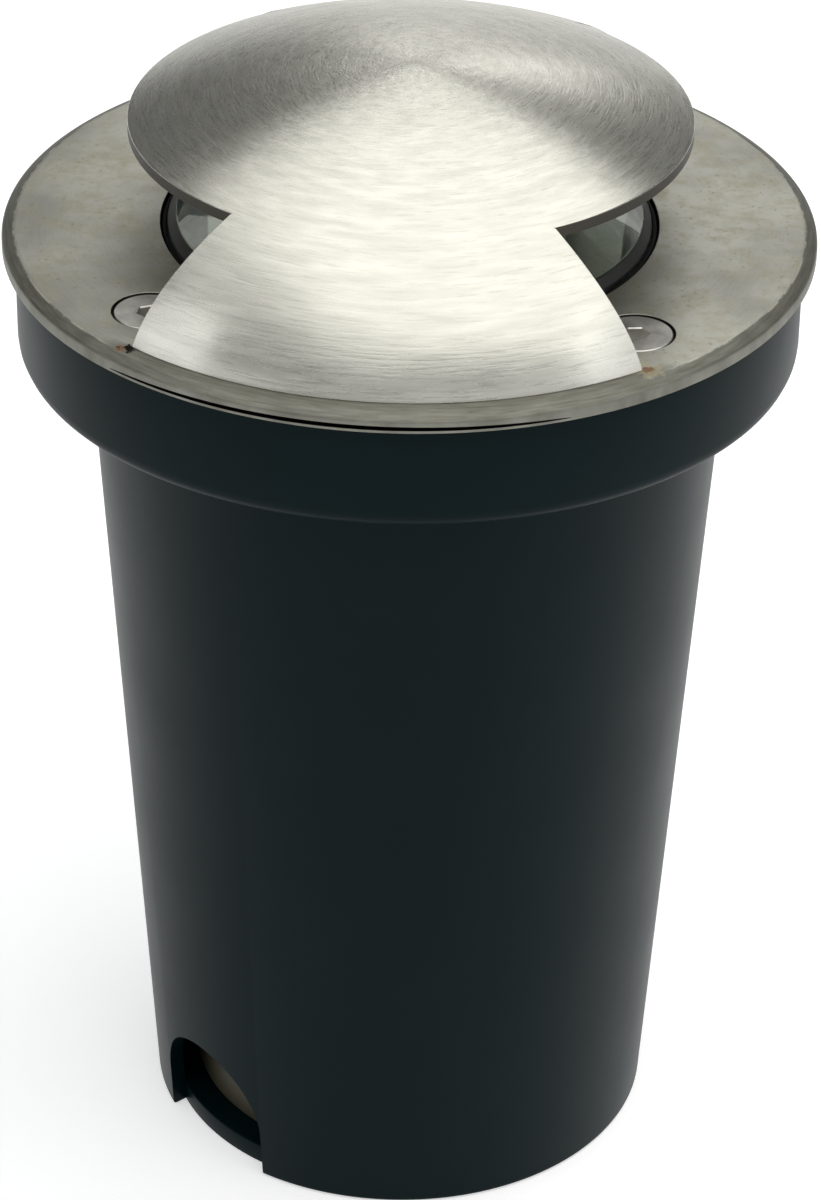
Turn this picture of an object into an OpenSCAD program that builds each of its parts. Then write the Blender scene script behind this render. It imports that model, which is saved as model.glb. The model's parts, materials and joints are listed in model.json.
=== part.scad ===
// In ground well light with a stainless dome cover that has two windows.
// A tapered plastic sleeve stays in the ground. The lamp unit drops into it from above
// and is closed by a face plate that carries the dome.
// The origin is the centre of the sleeve's foot, and the front leg of the dome points to -Y.
// An azimuth is counted from -Y towards +X.
// The driver sets the size of the lamp housing, and each piece round it adds its own wall and gap.

/* [Sleeve] */
// Wall of the tube
tube_wall = 2.3; // [1.8:0.1:3]
// How much smaller the tube's radius is at its foot than under the collar
tube_taper = 7.6; // [5:0.1:9]
// Gap between the tube's wall and the lamp housing, just under the collar
housing_gap = 1.4; // [1:0.1:3]
// Thickness of the sleeve's floor
floor_t = 3; // [2:0.2:6]
// Height of the cable space, from the sleeve's floor to the lamp housing
cable_space_h = 45; // [36:0.5:60]
// Width of the ledge inside the collar
ledge_w = 9.4; // [8:0.1:12]
// Wall of the collar
collar_wall = 2.4; // [1.6:0.1:3]
// Rounding of the collar's lower outer corner
collar_corner_r = 2; // [0.5:0.1:3]
// Width of a cable notch
notch_w = 21.4; // [14:0.2:26]
// Height of a cable notch, to the top of its arch
notch_h = 18; // [16:0.5:30]
// Azimuth of the notch that the front view shows
notch_azimuth = -46; // [-70:1:-20]
// Radius of the drain hole in the sleeve's floor
drain_r = 8; // [5:0.5:15]

/* [Face plate] */
// How far the face plate reaches past the collar
plate_overhang = 1.7; // [1:0.1:6]
// Thickness of the face plate
plate_t = 2.5; // [2.5:0.1:4]
// Width of the bevel round the top edge, seen from above
plate_bevel_w = 1.6; // [0.4:0.1:3]
// Height of the same bevel
plate_bevel_h = 0.8; // [0.2:0.1:1.2]
// Gap between the collar's top and the face plate
plate_gap = 0.2; // [0.1:0.05:0.5]
// Height of the lifting groove in the plate's rim
groove_h = 0.6; // [0.3:0.1:0.9]
// Height of the lip that is left under the groove
groove_lip_h = 0.4; // [0.3:0.1:0.6]
// Greatest depth of the groove
groove_depth = 0.9; // [0.4:0.1:1.5]
// Half of the angle that the groove runs over
groove_half_angle = 32; // [15:1:60]
// Azimuth of the middle of the groove
groove_azimuth = -7; // [-30:1:30]

/* [Dome] */
// How far the cap's rim stands back from the plate's edge
cap_setback = 17.2; // [16:0.1:19]
// Rise of the dome above the plate
dome_rise = 22.9; // [21:0.1:26]
// Radius of the dome's shallow crown
crown_r = 100; // [85:1:140]
// Radius of the rounder shoulder between the cap and a leg's foot
shoulder_r = 24; // [22:0.1:26]
// Thickness of the dome's sheet
dome_t = 1.5; // [1:0.1:2]
// Azimuth of a leg's edge at its neck, under the cap
neck_azimuth = 33.2; // [25:0.1:37]
// Azimuth of a leg's edge at its foot
foot_azimuth = 39.2; // [32:0.1:40]
// How far a leg's edge bows in between its neck and its foot
leg_waist = 0.9; // [0.3:0.1:1.5]

/* [Cover screws] */
// Distance of a screw's axis from the pocket of the glass
screw_inset = 6.1; // [5.5:0.1:6.5]
// Azimuth of the front screws, to both sides
screw_azimuth = 46.5; // [42:0.5:50]
// Radius of the screw's shank
screw_r = 2.5; // [2:0.1:2.5]
// Radius of the countersunk head
screw_head_r = 4.75; // [4.4:0.05:4.75]
// Width across the flats of the hexagon socket
screw_hex = 3; // [2:0.5:3]
// Depth of the hexagon socket
screw_hex_depth = 1.8; // [1:0.1:2]

/* [Glass and seals] */
// Height of the glass above the plate
glass_stand = 1.3; // [0.5:0.1:1.3]
// Whole thickness of the glass
glass_t = 9.8; // [8:0.1:12]
// Bevel of the upper edge of the glass
glass_bevel = 1.1; // [0.5:0.1:1.5]
// Width of the step that holds the glass down
glass_step_w = 3.9; // [3:0.1:5]
// Thickness of the lower step of the glass
glass_step_t = 4.2; // [3:0.1:4.5]
// Width of the seat under the glass
glass_seat_w = 3.3; // [2.5:0.1:4]
// Thickness of the flat ring under the glass
seat_ring_t = 1; // [0.6:0.1:1.5]
// Thickness of the gasket's lip between the glass and the plate
gasket_lip_t = 0.6; // [0.4:0.1:1.2]
// Thickness of the collar seal
collar_seal_t = 2; // [1:0.1:3]

/* [Lamp housing] */
// Height of the housing's rim
rim_h = 10; // [8.5:0.1:12]
// Gap between the rim and the collar
rim_gap = 0.5; // [0.3:0.1:1]
// How much smaller the housing's radius is at its foot than under its rim
housing_taper = 5.5; // [4.5:0.1:7]
// How far the cooling fins stand out at the housing's foot
fin_depth = 2.6; // [1.5:0.1:4]
// Wall of the driver chamber
chamber_wall = 2.6; // [2:0.1:4]
// How much larger the light chamber's radius is than the driver chamber's
chamber_step = 3.9; // [3:0.1:4.5]
// Depth of the light chamber below the seat of the glass
light_chamber_h = 27; // [22:0.1:34]
// Thickness of the shelf that carries the light source
shelf_t = 6; // [5.5:0.5:8]
// Height of the free space under the terminal block
wiring_room_h = 12; // [9:0.5:20]
// Number of cooling fins
fin_count = 20; // [8:1:28]
// Thickness of a cooling fin
fin_t = 1.6; // [1:0.1:2.4]
// Height of the plain ring above and below the fins
fin_ring_h = 5; // [4:0.5:8]

/* [Light source] */
// Radius of the round circuit board
board_r = 14; // [12:0.2:16]
// Thickness of the circuit board
board_t = 1.6; // [1:0.1:2]
// Radius of the light emitting area
chip_r = 6.5; // [4:0.2:7]
// Height of the light emitting area above the board
chip_t = 0.9; // [0.5:0.1:1.2]
// Thickness of the thermal pad
pad_t = 0.5; // [0.3:0.1:0.8]
// Height of the holder above the board
holder_h = 3.2; // [2.8:0.1:3.4]
// Number of facets round the reflector
facet_count = 12; // [8:1:18]
// Gap between the reflector's rim and the light chamber
reflector_gap = 0.3; // [0.2:0.1:0.7]
// Wall of the reflector
reflector_wall = 1; // [0.8:0.1:1.1]

/* [Driver and terminals] */
// Length of the driver case
driver_l = 44; // [38:0.5:54]
// Width of the driver case
driver_w = 26; // [22:0.5:30]
// Height of the driver case
driver_h = 26; // [20:0.5:32]
// Gap between the driver's ears and the wall of its chamber
driver_gap = 1.4; // [1.2:0.1:4]
// Length of the terminal block
block_l = 18; // [16:0.5:20]
// Width of the terminal block
block_w = 16; // [14:0.5:18]
// Height of the terminal block
block_h = 12; // [10:0.5:14]
// Distance between the two poles of the terminal block
pole_pitch = 9; // [8:0.5:10]
// Radius of a wire with its insulation
wire_r = 0.8; // [0.5:0.1:0.9]

/* [Base cap] */
// Thickness of the base cap's plate
cap_t = 5; // [4:0.5:6]
// How far the skirt stands back from the cap's edge
skirt_inset = 4.2; // [3.5:0.1:6]
// Wall of the skirt
skirt_wall = 1.8; // [1.4:0.1:2.4]
// Gap between the skirt and the floor of the sleeve
skirt_gap = 0.3; // [0.2:0.1:2]
// Width of the cable slot in the skirt
skirt_slot_w = 12; // [8:0.5:16]
// Height of the cable slot in the skirt
skirt_slot_h = 16; // [12:0.5:20]
// Radius of the section of the base seal
o_ring_r = 0.8; // [0.5:0.05:1]

/* [Cable gland] */
// Outer radius of the gland's thread
gland_r = 6; // [5:0.1:7]
// Radius of the cable that the gland grips
cable_r = 3.25; // [2.5:0.05:3.5]
// Width across the flats of the gland's body and nut
gland_hex = 15; // [14.5:0.5:18]
// Height of the gland body's hexagon
gland_hex_h = 4; // [3:0.5:5]
// Height of the gland nut
gland_nut_h = 14; // [13:0.5:14]
// Length of the rubber insert in the gland
gland_seal_l = 10; // [8:0.5:10]
// Width across the flats of the gland's lock nut
lock_nut_hex = 17; // [16:0.5:19]
// Height of the gland's lock nut
lock_nut_h = 4; // [3:0.5:5]

/* [Hidden] */
$fn = 96;

// Overrun of a cutting shape past the face that it cuts
over = 1;
// Radial gap of a plain screw in its hole
hole_gap = 0.1;
// Gap between two close pieces that don't touch
close_gap = 0.1;
// Gap that lets one piece slide past another
slide_gap = 0.2;
// Small pan head screws, with their cross recess drawn as a blind socket
small_screw_r = 1.5;
small_head_r = 2.75;
small_head_h = 1.7;
small_recess_r = 1.1;
small_recess_h = 0.9;
small_thread_depth = 4.5;

// Heights from the sleeve's floor up to the shelf
housing_foot_z = floor_t + cable_space_h;
shelf_z = housing_foot_z + wiring_room_h + block_h + driver_h;
shelf_top = shelf_z + shelf_t;

// Heights from the shelf up to the face plate
glass_seat_z = shelf_top + light_chamber_h;
glass_z = glass_seat_z + seat_ring_t;
glass_top = glass_z + glass_t;
plate_top = glass_top - glass_stand;
plate_z = plate_top - plate_t;
groove_z = plate_z + groove_lip_h;

// Heights of the rim and of the collar that carries it
rim_seal_gap = 0.4;
housing_top = plate_z - 3 * close_gap;
rim_z = housing_top - rim_h;
ledge_z = rim_z - rim_seal_gap - collar_seal_t;
collar_z = ledge_z - tube_wall;
collar_top = plate_z - plate_gap;

// Radii from the driver out to the tube
driver_ear_l = 6;
driver_ear_w = 8;
driver_ear_t = 2.2;
driver_chamber_r = driver_l / 2 + driver_ear_l + driver_gap;
fin_core_r = driver_chamber_r + chamber_wall;
housing_foot_r = fin_core_r + fin_depth;
housing_top_r = housing_foot_r + housing_taper;
tube_inner_top_r = housing_top_r + housing_gap;
tube_inner_foot_r = tube_inner_top_r - tube_taper;
tube_top_r = tube_inner_top_r + tube_wall;
tube_foot_r = tube_inner_foot_r + tube_wall;
// The floor disc runs a little into the wall, so its edge shows in the notches
floor_edge_r = tube_inner_foot_r + tube_wall / 10;

// Radii of the collar and the face plate
collar_inner_r = tube_inner_top_r + ledge_w;
collar_r = collar_inner_r + collar_wall;
rim_r = collar_inner_r - rim_gap;
plate_r = collar_r + plate_overhang;
groove_shift = groove_depth / (1 - cos(groove_half_angle));
groove_inner_r = plate_r - groove_depth + groove_shift;

// Radii of the light chamber, the glass and its seals
light_chamber_r = driver_chamber_r + chamber_step;
glass_step_r = light_chamber_r + glass_seat_w;
glass_pocket_r = glass_step_r + 4 * slide_gap;
glass_r = glass_step_r - glass_step_w;
gasket_lip_r = glass_r + close_gap + gasket_lip_t;
gasket_lip_sink = 0.3;
gasket_foot_r = glass_step_r + slide_gap;
plate_bore_r = gasket_lip_r + slide_gap;

// Crown of the dome: a shallow sphere whose edge is the rim of the cap
cap_rim_r = plate_r - cap_setback;
crown_z = plate_top + dome_rise - crown_r;
cap_rim_z = crown_z + sqrt(crown_r * crown_r - cap_rim_r * cap_rim_r);
// Direction that the dome's outer face looks at the cap's rim
rim_normal = [cap_rim_r, cap_rim_z - crown_z] / crown_r;
// Shoulder of the dome: it leaves the crown without a kink and ends where it meets the plate, at the foot
shoulder_centre = [cap_rim_r, cap_rim_z] - shoulder_r * rim_normal;
foot_rise = plate_top - shoulder_centre[1];
dome_foot_r = shoulder_centre[0] + sqrt(shoulder_r * shoulder_r - foot_rise * foot_rise);

// Places and length of the cover screws
screw_circle_r = glass_pocket_r + screw_inset;
screw_places = [screw_azimuth, -screw_azimuth, 180 - screw_azimuth, 180 + screw_azimuth];
screw_sink = 0.1;
screw_top = plate_top - screw_sink;
screw_land = 0.2;
screw_end_gap = 0.7;
thread_floor_t = 2;
thread_z = rim_z + thread_floor_t;
screw_l = screw_top - thread_z - screw_end_gap;
countersink_gap = 0.4;
countersink_r = screw_head_r + countersink_gap;
screw_hole_r = screw_r + countersink_gap;

// Heights and radii of the light source
board_z = shelf_top + pad_t;
board_top = board_z + board_t;
board_gap = 0.3;
pad_inset = 1.5;
holder_inset = 0.5;
holder_r = board_r - holder_inset;
holder_top = board_top + holder_h;
chip_gap = 1.1;
holder_bore_r = chip_r + chip_gap;
ear_shift = 2.8;
ear_x = board_r + ear_shift;
ear_reach = 4;
wire_slot_w = 6;

// Places of the grommet and the two leads to the board
grommet_r = 4;
grommet_flange_r = 5.2;
grommet_bore_r = 2.6;
grommet_flange_t = 1.2;
driver_side_gap = 1.3;
lead_x = 1.5;
lead_r = 0.6;
lead_y = grommet_flange_r + max(driver_w / 2 + driver_side_gap, board_r + board_gap);

// Rings of the reflector's corners, from its lower mouth up: shares of its rim radius and of its height
reflector_r_shares = [0, 0.19, 0.47, 0.74, 1];
reflector_z_shares = [0, 0.13, 0.36, 0.66, 1];
mouth_gap = 1.6;
reflector_mouth_r = holder_bore_r + mouth_gap;
reflector_rim_r = light_chamber_r - reflector_gap;
reflector_top_r = reflector_rim_r * 1.045;
reflector_z = holder_top + close_gap;
reflector_top = glass_z - 3 * close_gap;
reflector_full_h = (reflector_top - reflector_z) * 1.1;

// Heights and places of the driver and the terminal block
driver_top = shelf_z;
driver_z = driver_top - driver_h;
driver_ear_x = driver_l / 2 + driver_ear_l / 2;
driver_screw_x = driver_l / 2 + small_head_r + close_gap;
led_wire_z = driver_z + driver_h / 2;
block_z = driver_z - block_h;
pole_bore_r = 2 * wire_r;
pole_z = block_z + block_h / 2;
clamp_screw_r = 1.7;
clamp_well_r = clamp_screw_r + slide_gap;
clamp_well_h = 3;
clamp_y = block_w / 4;
mount_screw_r = 1.25;
mount_screw_grip = 4;
wire_loop_reach = 5;
wire_grip = 3;
wire_loop_y = driver_w / 2 + wire_loop_reach;
wire_top_z = driver_z + driver_h / 3;
wire_end_y = block_w / 2 - wire_grip;

// Heights and places of the base cap and the screws that hold it
cap_z = housing_foot_z - cap_t;
skirt_z = floor_t + skirt_gap;
skirt_r = housing_foot_r - skirt_inset;
head_room = 0.65;
base_circle_r = skirt_r - skirt_wall - head_room - small_head_r;
boss_r = 3.6;
boss_h = 14;
boss_thread_h = 11;
base_screw_l = 13;
base_azimuths = [0, 120, 240];
groove_gap = 0.3;
o_ring_circle_r = (driver_chamber_r + housing_foot_r) / 2;

// Heights and radii of the cable gland
washer_t = 1;
washer_edge = 1;
washer_r = gland_hex / 2 + washer_edge;
gland_hex_top = cap_z - washer_t;
gland_hex_z = gland_hex_top - gland_hex_h;
gland_tail_l = 11;
gland_tail_z = gland_hex_z - gland_tail_l;
gland_head_top = housing_foot_z + lock_nut_h + 2 * washer_t;
gland_bore_gap = 0.75;
gland_bore_r = cable_r + gland_bore_gap;
gland_seal_t = 1.4;
gland_cup_r = cable_r + gland_seal_t;
gland_nut_gap = 0.05;
gland_nut_top = gland_hex_z - slide_gap;
gland_nut_z = gland_nut_top - gland_nut_h;
gland_nut_lip_h = gland_nut_top - gland_tail_z + close_gap;
gland_mouth_gap = 0.5;
gland_nut_mouth_r = cable_r + gland_mouth_gap;
gland_dome_h = 4;

// Circumscribed radius of a hexagon from its width across the flats
function hex_r(flats) = flats / 2 / cos(30);
// Plan position at a radius and an azimuth
function at_azimuth(r, azimuth) = [r * sin(azimuth), -r * cos(azimuth), 0];

module ring(r_outer, r_inner, h) {
    difference() {
        cylinder(r = r_outer, h = h);
        translate([0, 0, -over]) cylinder(r = r_inner, h = h + 2 * over);
    }
}

// A round rod from one point to another, with a ball at its far end to join the next rod
module rod(from, to, r) {
    way = to - from;
    turn = acos(way[2] / norm(way));
    translate(from) rotate([0, turn, atan2(way[1], way[0])]) cylinder(r = r, h = norm(way), $fn = 24);
    translate(to) sphere(r = r, $fn = 24);
}

// A wire along a list of points
module wire(points, r) {
    for (i = [0 : len(points) - 2]) rod(points[i], points[i + 1], r);
}

// A pan head screw that points up, with its head's lower face at z = 0
module pan_screw_up(shank_l) {
    difference() {
        cylinder(r = small_head_r, h = small_head_h, $fn = 48);
        translate([0, 0, -over]) cylinder(r = small_recess_r, h = over + small_recess_h, $fn = 24);
    }
    translate([0, 0, small_head_h]) cylinder(r = small_screw_r, h = shank_l, $fn = 32);
}

// An arch that stands on z = 0 and runs outwards along -Y
module arch(w, h, reach) {
    translate([-w / 2, -reach, -over]) cube([w, reach, h - w / 2 + over]);
    translate([0, 0, h - w / 2]) rotate([90, 0, 0]) cylinder(d = w, h = reach);
}

// Installation sleeve: a tapered tube with a collar, two cable notches and a drained floor
module sleeve() {
    corner = [for (a = [0 : 15 : 90])
        [collar_r - collar_corner_r + collar_corner_r * sin(a), collar_z + collar_corner_r * (1 - cos(a))]];
    color("#26302f") union() {
        difference() {
            rotate_extrude() polygon(concat(
                [[tube_inner_foot_r, 0], [tube_foot_r, 0], [tube_top_r, collar_z]],
                corner,
                [[collar_r, collar_top], [collar_inner_r, collar_top], [collar_inner_r, ledge_z],
                 [tube_inner_top_r, ledge_z], [tube_inner_top_r, collar_z]]));
            for (azimuth = [notch_azimuth, notch_azimuth + 180])
                rotate([0, 0, azimuth]) arch(notch_w, notch_h, tube_top_r);
        }
        ring(floor_edge_r, drain_r, floor_t);
    }
}

// Soft flat ring on the ledge of the collar
module collar_seal() {
    color("#1b1b1c") translate([0, 0, ledge_z])
        ring(collar_inner_r - slide_gap, tube_inner_top_r + slide_gap, collar_seal_t);
}

// Round stainless plate with a bevelled edge, a shallow lifting groove and four countersunk holes
module face_plate() {
    color("#b4b4ae") difference() {
        rotate_extrude() polygon([
            [plate_bore_r, plate_z], [plate_r, plate_z], [plate_r, plate_top - plate_bevel_h],
            [plate_r - plate_bevel_w, plate_top], [plate_bore_r, plate_top]]);
        for (azimuth = screw_places)
            translate(at_azimuth(screw_circle_r, azimuth)) countersink();
        rotate([0, 0, groove_azimuth]) translate([0, 0, groove_z]) difference() {
            cylinder(r = plate_r + over, h = groove_h);
            translate([0, groove_shift, -over]) cylinder(r = groove_inner_r, h = groove_h + 2 * over);
        }
    }
}

// A screw hole with its cone, open at both faces of the plate
module countersink() {
    cone_h = countersink_r - screw_hole_r;
    translate([0, 0, plate_z - over]) cylinder(r = screw_hole_r, h = plate_t + 2 * over);
    translate([0, 0, plate_top - cone_h]) cylinder(r1 = screw_hole_r, r2 = countersink_r, h = cone_h);
    translate([0, 0, plate_top]) cylinder(r = countersink_r, h = over);
}

// Pressed stainless dome on two legs, with its two windows blanked out straight down
module dome_cover() {
    color("#cfcfca") difference() {
        rotate_extrude($fn = 180) difference() {
            dome_section(0);
            dome_section(dome_t);
            translate([0, plate_top - 2 * dome_rise]) square([2 * plate_r, 2 * dome_rise]);
        }
        for (side = [0, 180]) rotate([0, 0, side]) window();
    }
}

// Half section below the dome's outer face, drawn in by an inset for the inner face
module dome_section(inset) {
    rim = [cap_rim_r, cap_rim_z] - inset * rim_normal;
    intersection() {
        translate([0, crown_z]) circle(r = crown_r - inset, $fn = 360);
        translate([0, rim[1] - dome_rise]) square([rim[0], 2 * dome_rise]);
    }
    intersection() {
        translate(shoulder_centre) circle(r = shoulder_r - inset, $fn = 180);
        translate([rim[0], rim[1] - dome_rise]) square([dome_rise, dome_rise]);
    }
}

// The space of one window: outside the cap's rim and between the two legs
module window() {
    neck = at_azimuth(cap_rim_r, neck_azimuth);
    foot = at_azimuth(dome_foot_r, foot_azimuth);
    way = (foot - neck) / norm(foot - neck);
    far = foot + way * 2 * dome_rise;
    bow = [for (t = [0 : 0.125 : 1]) neck + t * (foot - neck) + 4 * t * (1 - t) * leg_waist * [way[1], -way[0]]];
    other = [for (i = [len(bow) - 1 : -1 : 0]) [bow[i][0], -bow[i][1]]];
    translate([0, 0, plate_top - over]) difference() {
        linear_extrude(2 * dome_rise)
            polygon(concat(bow, [[far[0], far[1]], [far[0], -far[1]]], other));
        translate([0, 0, -over]) cylinder(r = cap_rim_r, h = 2 * dome_rise + 2 * over, $fn = 180);
    }
}

// Four countersunk screws with a hexagon socket
module cover_screws() {
    cone_h = screw_head_r - screw_r;
    color("#d8d8d4") for (azimuth = screw_places)
    translate(at_azimuth(screw_circle_r, azimuth)) difference() {
        union() {
            translate([0, 0, screw_top - screw_l]) cylinder(r = screw_r, h = screw_l, $fn = 48);
            translate([0, 0, screw_top - screw_land - cone_h])
                cylinder(r1 = screw_r, r2 = screw_head_r, h = cone_h, $fn = 64);
            translate([0, 0, screw_top - screw_land]) cylinder(r = screw_head_r, h = screw_land, $fn = 64);
        }
        translate([0, 0, screw_top - screw_hex_depth])
            cylinder(r = hex_r(screw_hex), h = screw_hex_depth + over, $fn = 6);
    }
}

// Gasket with an upright lip in the plate's bore and a foot on the step of the glass
module lens_gasket() {
    color("#101010") rotate_extrude() polygon([
        [glass_r + close_gap, glass_z + glass_step_t], [gasket_foot_r, glass_z + glass_step_t],
        [gasket_foot_r, plate_z - close_gap], [gasket_lip_r, plate_z - close_gap],
        [gasket_lip_r, plate_top - gasket_lip_sink], [glass_r + close_gap, plate_top - gasket_lip_sink]]);
}

// Thick stepped glass with a bevelled upper edge
module glass_lens() {
    color("#b9c8c4", 0.5) rotate_extrude() polygon([
        [0, glass_z], [glass_step_r, glass_z], [glass_step_r, glass_z + glass_step_t],
        [glass_r, glass_z + glass_step_t], [glass_r, glass_top - glass_bevel],
        [glass_r - glass_bevel, glass_top], [0, glass_top]]);
}

// Flat ring that the glass lies on
module lens_seat_ring() {
    color("#2a2a2a") translate([0, 0, glass_seat_z])
        ring(glass_step_r, light_chamber_r + close_gap, seat_ring_t);
}

// Die-cast housing: a rim with four threaded holes, a light chamber, a shelf and a finned driver chamber
module lamp_housing() {
    fin_top = shelf_top - fin_ring_h;
    fin_z = housing_foot_z + fin_ring_h;
    color("#8e9192") difference() {
        union() {
            intersection() {
                rotate_extrude() polygon([[0, housing_foot_z], [housing_foot_r, housing_foot_z],
                    [housing_top_r, rim_z], [housing_top_r, rim_z + over], [0, rim_z + over]]);
                union() {
                    cylinder(r = fin_core_r, h = housing_top);
                    translate([0, 0, housing_foot_z]) cylinder(r = rim_r, h = fin_ring_h);
                    translate([0, 0, fin_top]) cylinder(r = rim_r, h = housing_top - fin_top);
                    for (i = [0 : fin_count - 1])
                        rotate([0, 0, i * 360 / fin_count]) translate([0, -fin_t / 2, fin_z - over])
                            cube([rim_r, fin_t, fin_top - fin_z + 2 * over]);
                }
            }
            translate([0, 0, rim_z]) cylinder(r = rim_r, h = rim_h);
        }
        translate([0, 0, glass_seat_z]) cylinder(r = glass_pocket_r, h = rim_h);
        translate([0, 0, shelf_top]) cylinder(r = light_chamber_r, h = light_chamber_h + over);
        difference() {
            translate([0, 0, housing_foot_z - over])
                cylinder(r = driver_chamber_r, h = shelf_z - housing_foot_z + over);
            for (azimuth = base_azimuths) rotate([0, 0, azimuth]) base_boss();
        }
        for (azimuth = screw_places)
            translate(at_azimuth(screw_circle_r, azimuth)) translate([0, 0, thread_z])
                cylinder(r = screw_r + hole_gap, h = rim_h, $fn = 48);
        for (azimuth = base_azimuths)
            translate(at_azimuth(base_circle_r, azimuth)) translate([0, 0, housing_foot_z - over])
                cylinder(r = small_screw_r + hole_gap, h = boss_thread_h + over, $fn = 32);
        for (side = [-1, 1]) {
            translate([side * ear_x, 0, shelf_top - small_thread_depth])
                cylinder(r = small_screw_r + hole_gap, h = small_thread_depth + over, $fn = 32);
            translate([side * driver_screw_x, 0, shelf_z - over])
                cylinder(r = small_screw_r + hole_gap, h = small_thread_depth + over, $fn = 32);
        }
        translate([0, lead_y, shelf_z - over]) cylinder(r = grommet_r, h = shelf_t + 2 * over, $fn = 48);
    }
}

// A screw boss that grows out of the wall of the driver chamber, at azimuth zero
module base_boss() {
    translate([0, -base_circle_r, housing_foot_z - over]) cylinder(r = boss_r, h = boss_h + over, $fn = 48);
    translate([-boss_r, -driver_chamber_r - over, housing_foot_z - over])
        cube([2 * boss_r, driver_chamber_r + over - base_circle_r, boss_h + over]);
}

// One corner of the reflector: ring number and step round it, moved outwards by its wall where asked
function facet_corner(ring_no, step, wall) =
    let (turn = 360 / facet_count,
         azimuth = (step + (ring_no % 2) / 2) * turn,
         r = reflector_mouth_r + (reflector_top_r - reflector_mouth_r) * reflector_r_shares[ring_no])
    at_azimuth(r + wall, azimuth) + [0, 0, reflector_z + reflector_full_h * reflector_z_shares[ring_no]];

// Faceted cup: five rings of corners, each turned by half a step, joined by triangles inside and outside
module reflector() {
    rings = len(reflector_r_shares);
    inner = [for (i = [0 : rings - 1]) for (j = [0 : facet_count - 1]) facet_corner(i, j, 0)];
    outer = [for (i = [0 : rings - 1]) for (j = [0 : facet_count - 1]) facet_corner(i, j, reflector_wall)];
    shift = rings * facet_count;
    last = rings - 1;
    inner_faces = [for (i = [0 : rings - 2]) for (j = [0 : facet_count - 1])
        let (k = (j + 1) % facet_count, a = i * facet_count, b = (i + 1) * facet_count)
        each i % 2 == 0
            ? [[a + j, a + k, b + j], [a + k, b + k, b + j]]
            : [[a + j, a + k, b + k], [a + j, b + k, b + j]]];
    outer_faces = [for (f = inner_faces) [f[2] + shift, f[1] + shift, f[0] + shift]];
    lower_faces = [for (j = [0 : facet_count - 1]) let (k = (j + 1) % facet_count)
        each [[j, j + shift, k + shift], [j, k + shift, k]]];
    upper_faces = [for (j = [0 : facet_count - 1]) let (k = (j + 1) % facet_count, a = last * facet_count)
        each [[a + j, a + k, a + k + shift], [a + j, a + k + shift, a + j + shift]]];
    color("#dfe3e2") intersection() {
        polyhedron(points = concat(inner, outer),
            faces = concat(inner_faces, outer_faces, lower_faces, upper_faces), convexity = 4);
        translate([0, 0, reflector_z - over])
            cylinder(r = reflector_rim_r, h = reflector_top - reflector_z + over);
    }
}

// Light emitting area of the source
module led_chip() {
    color("#e8d35a") translate([0, 0, board_top]) cylinder(r = chip_r, h = chip_t);
}

// Round metal circuit board
module led_board() {
    color("#e9e9e6") translate([0, 0, board_z]) cylinder(r = board_r, h = board_t);
}

// Thermal pad between the board and the shelf
module thermal_pad() {
    color("#9fb3c4") translate([0, 0, shelf_top]) cylinder(r = board_r - pad_inset, h = pad_t);
}

// Holder that presses the board down and carries the reflector, with an ear to each side
module led_holder() {
    color("#f2f2ee") difference() {
        union() {
            translate([0, 0, board_top]) cylinder(r = holder_r, h = holder_h);
            for (side = [0, 180]) rotate([0, 0, side]) {
                translate([0, -ear_reach, board_top]) cube([ear_x, 2 * ear_reach, holder_h]);
                translate([ear_x, 0, board_top]) cylinder(r = ear_reach, h = holder_h);
                difference() {
                    translate([ear_x, 0, shelf_top]) cylinder(r = ear_reach, h = holder_top - shelf_top);
                    translate([0, 0, shelf_top - over])
                        cylinder(r = board_r + slide_gap, h = board_top - shelf_top + over);
                }
            }
        }
        translate([0, 0, board_top - over]) cylinder(r = holder_bore_r, h = holder_h + 2 * over);
        for (side = [-1, 1]) translate([side * ear_x, 0, shelf_top - over])
            cylinder(r = small_screw_r + slide_gap, h = holder_top - shelf_top + 2 * over, $fn = 32);
        translate([-wire_slot_w / 2, 0, board_top - over])
            cube([wire_slot_w, holder_r + over, holder_h + 2 * over]);
    }
}

// Two pan head screws of the holder
module led_holder_screws() {
    color("#c9c9c4") for (side = [-1, 1]) translate([side * ear_x, 0, holder_top + small_head_h])
        rotate([180, 0, 0]) pan_screw_up(holder_top - shelf_top + small_thread_depth - small_head_h / 2);
}

// Rubber grommet where the leads pass the shelf
module shelf_grommet() {
    color("#151515") translate([0, lead_y, 0]) difference() {
        union() {
            translate([0, 0, shelf_z - grommet_flange_t])
                cylinder(r = grommet_flange_r, h = grommet_flange_t, $fn = 48);
            translate([0, 0, shelf_z]) cylinder(r = grommet_r - close_gap / 2, h = shelf_t, $fn = 48);
            translate([0, 0, shelf_top]) cylinder(r = grommet_flange_r, h = grommet_flange_t, $fn = 48);
        }
        translate([0, 0, shelf_z - grommet_flange_t - over])
            cylinder(r = grommet_bore_r, h = shelf_t + 2 * grommet_flange_t + 2 * over, $fn = 48);
    }
}

// Two leads from the driver, up through the grommet and in to the board
module led_leads() {
    lead_top = board_top + 3 * lead_r;
    pad_y = board_r - 4 * lead_r;
    color("#b03028") for (side = [-1, 1]) wire([
        [side * lead_x, driver_w / 2, led_wire_z],
        [side * lead_x, lead_y, led_wire_z],
        [side * lead_x, lead_y, lead_top],
        [side * lead_x, pad_y, lead_top],
        [side * lead_x, pad_y, board_top + lead_r]], lead_r);
}

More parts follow.
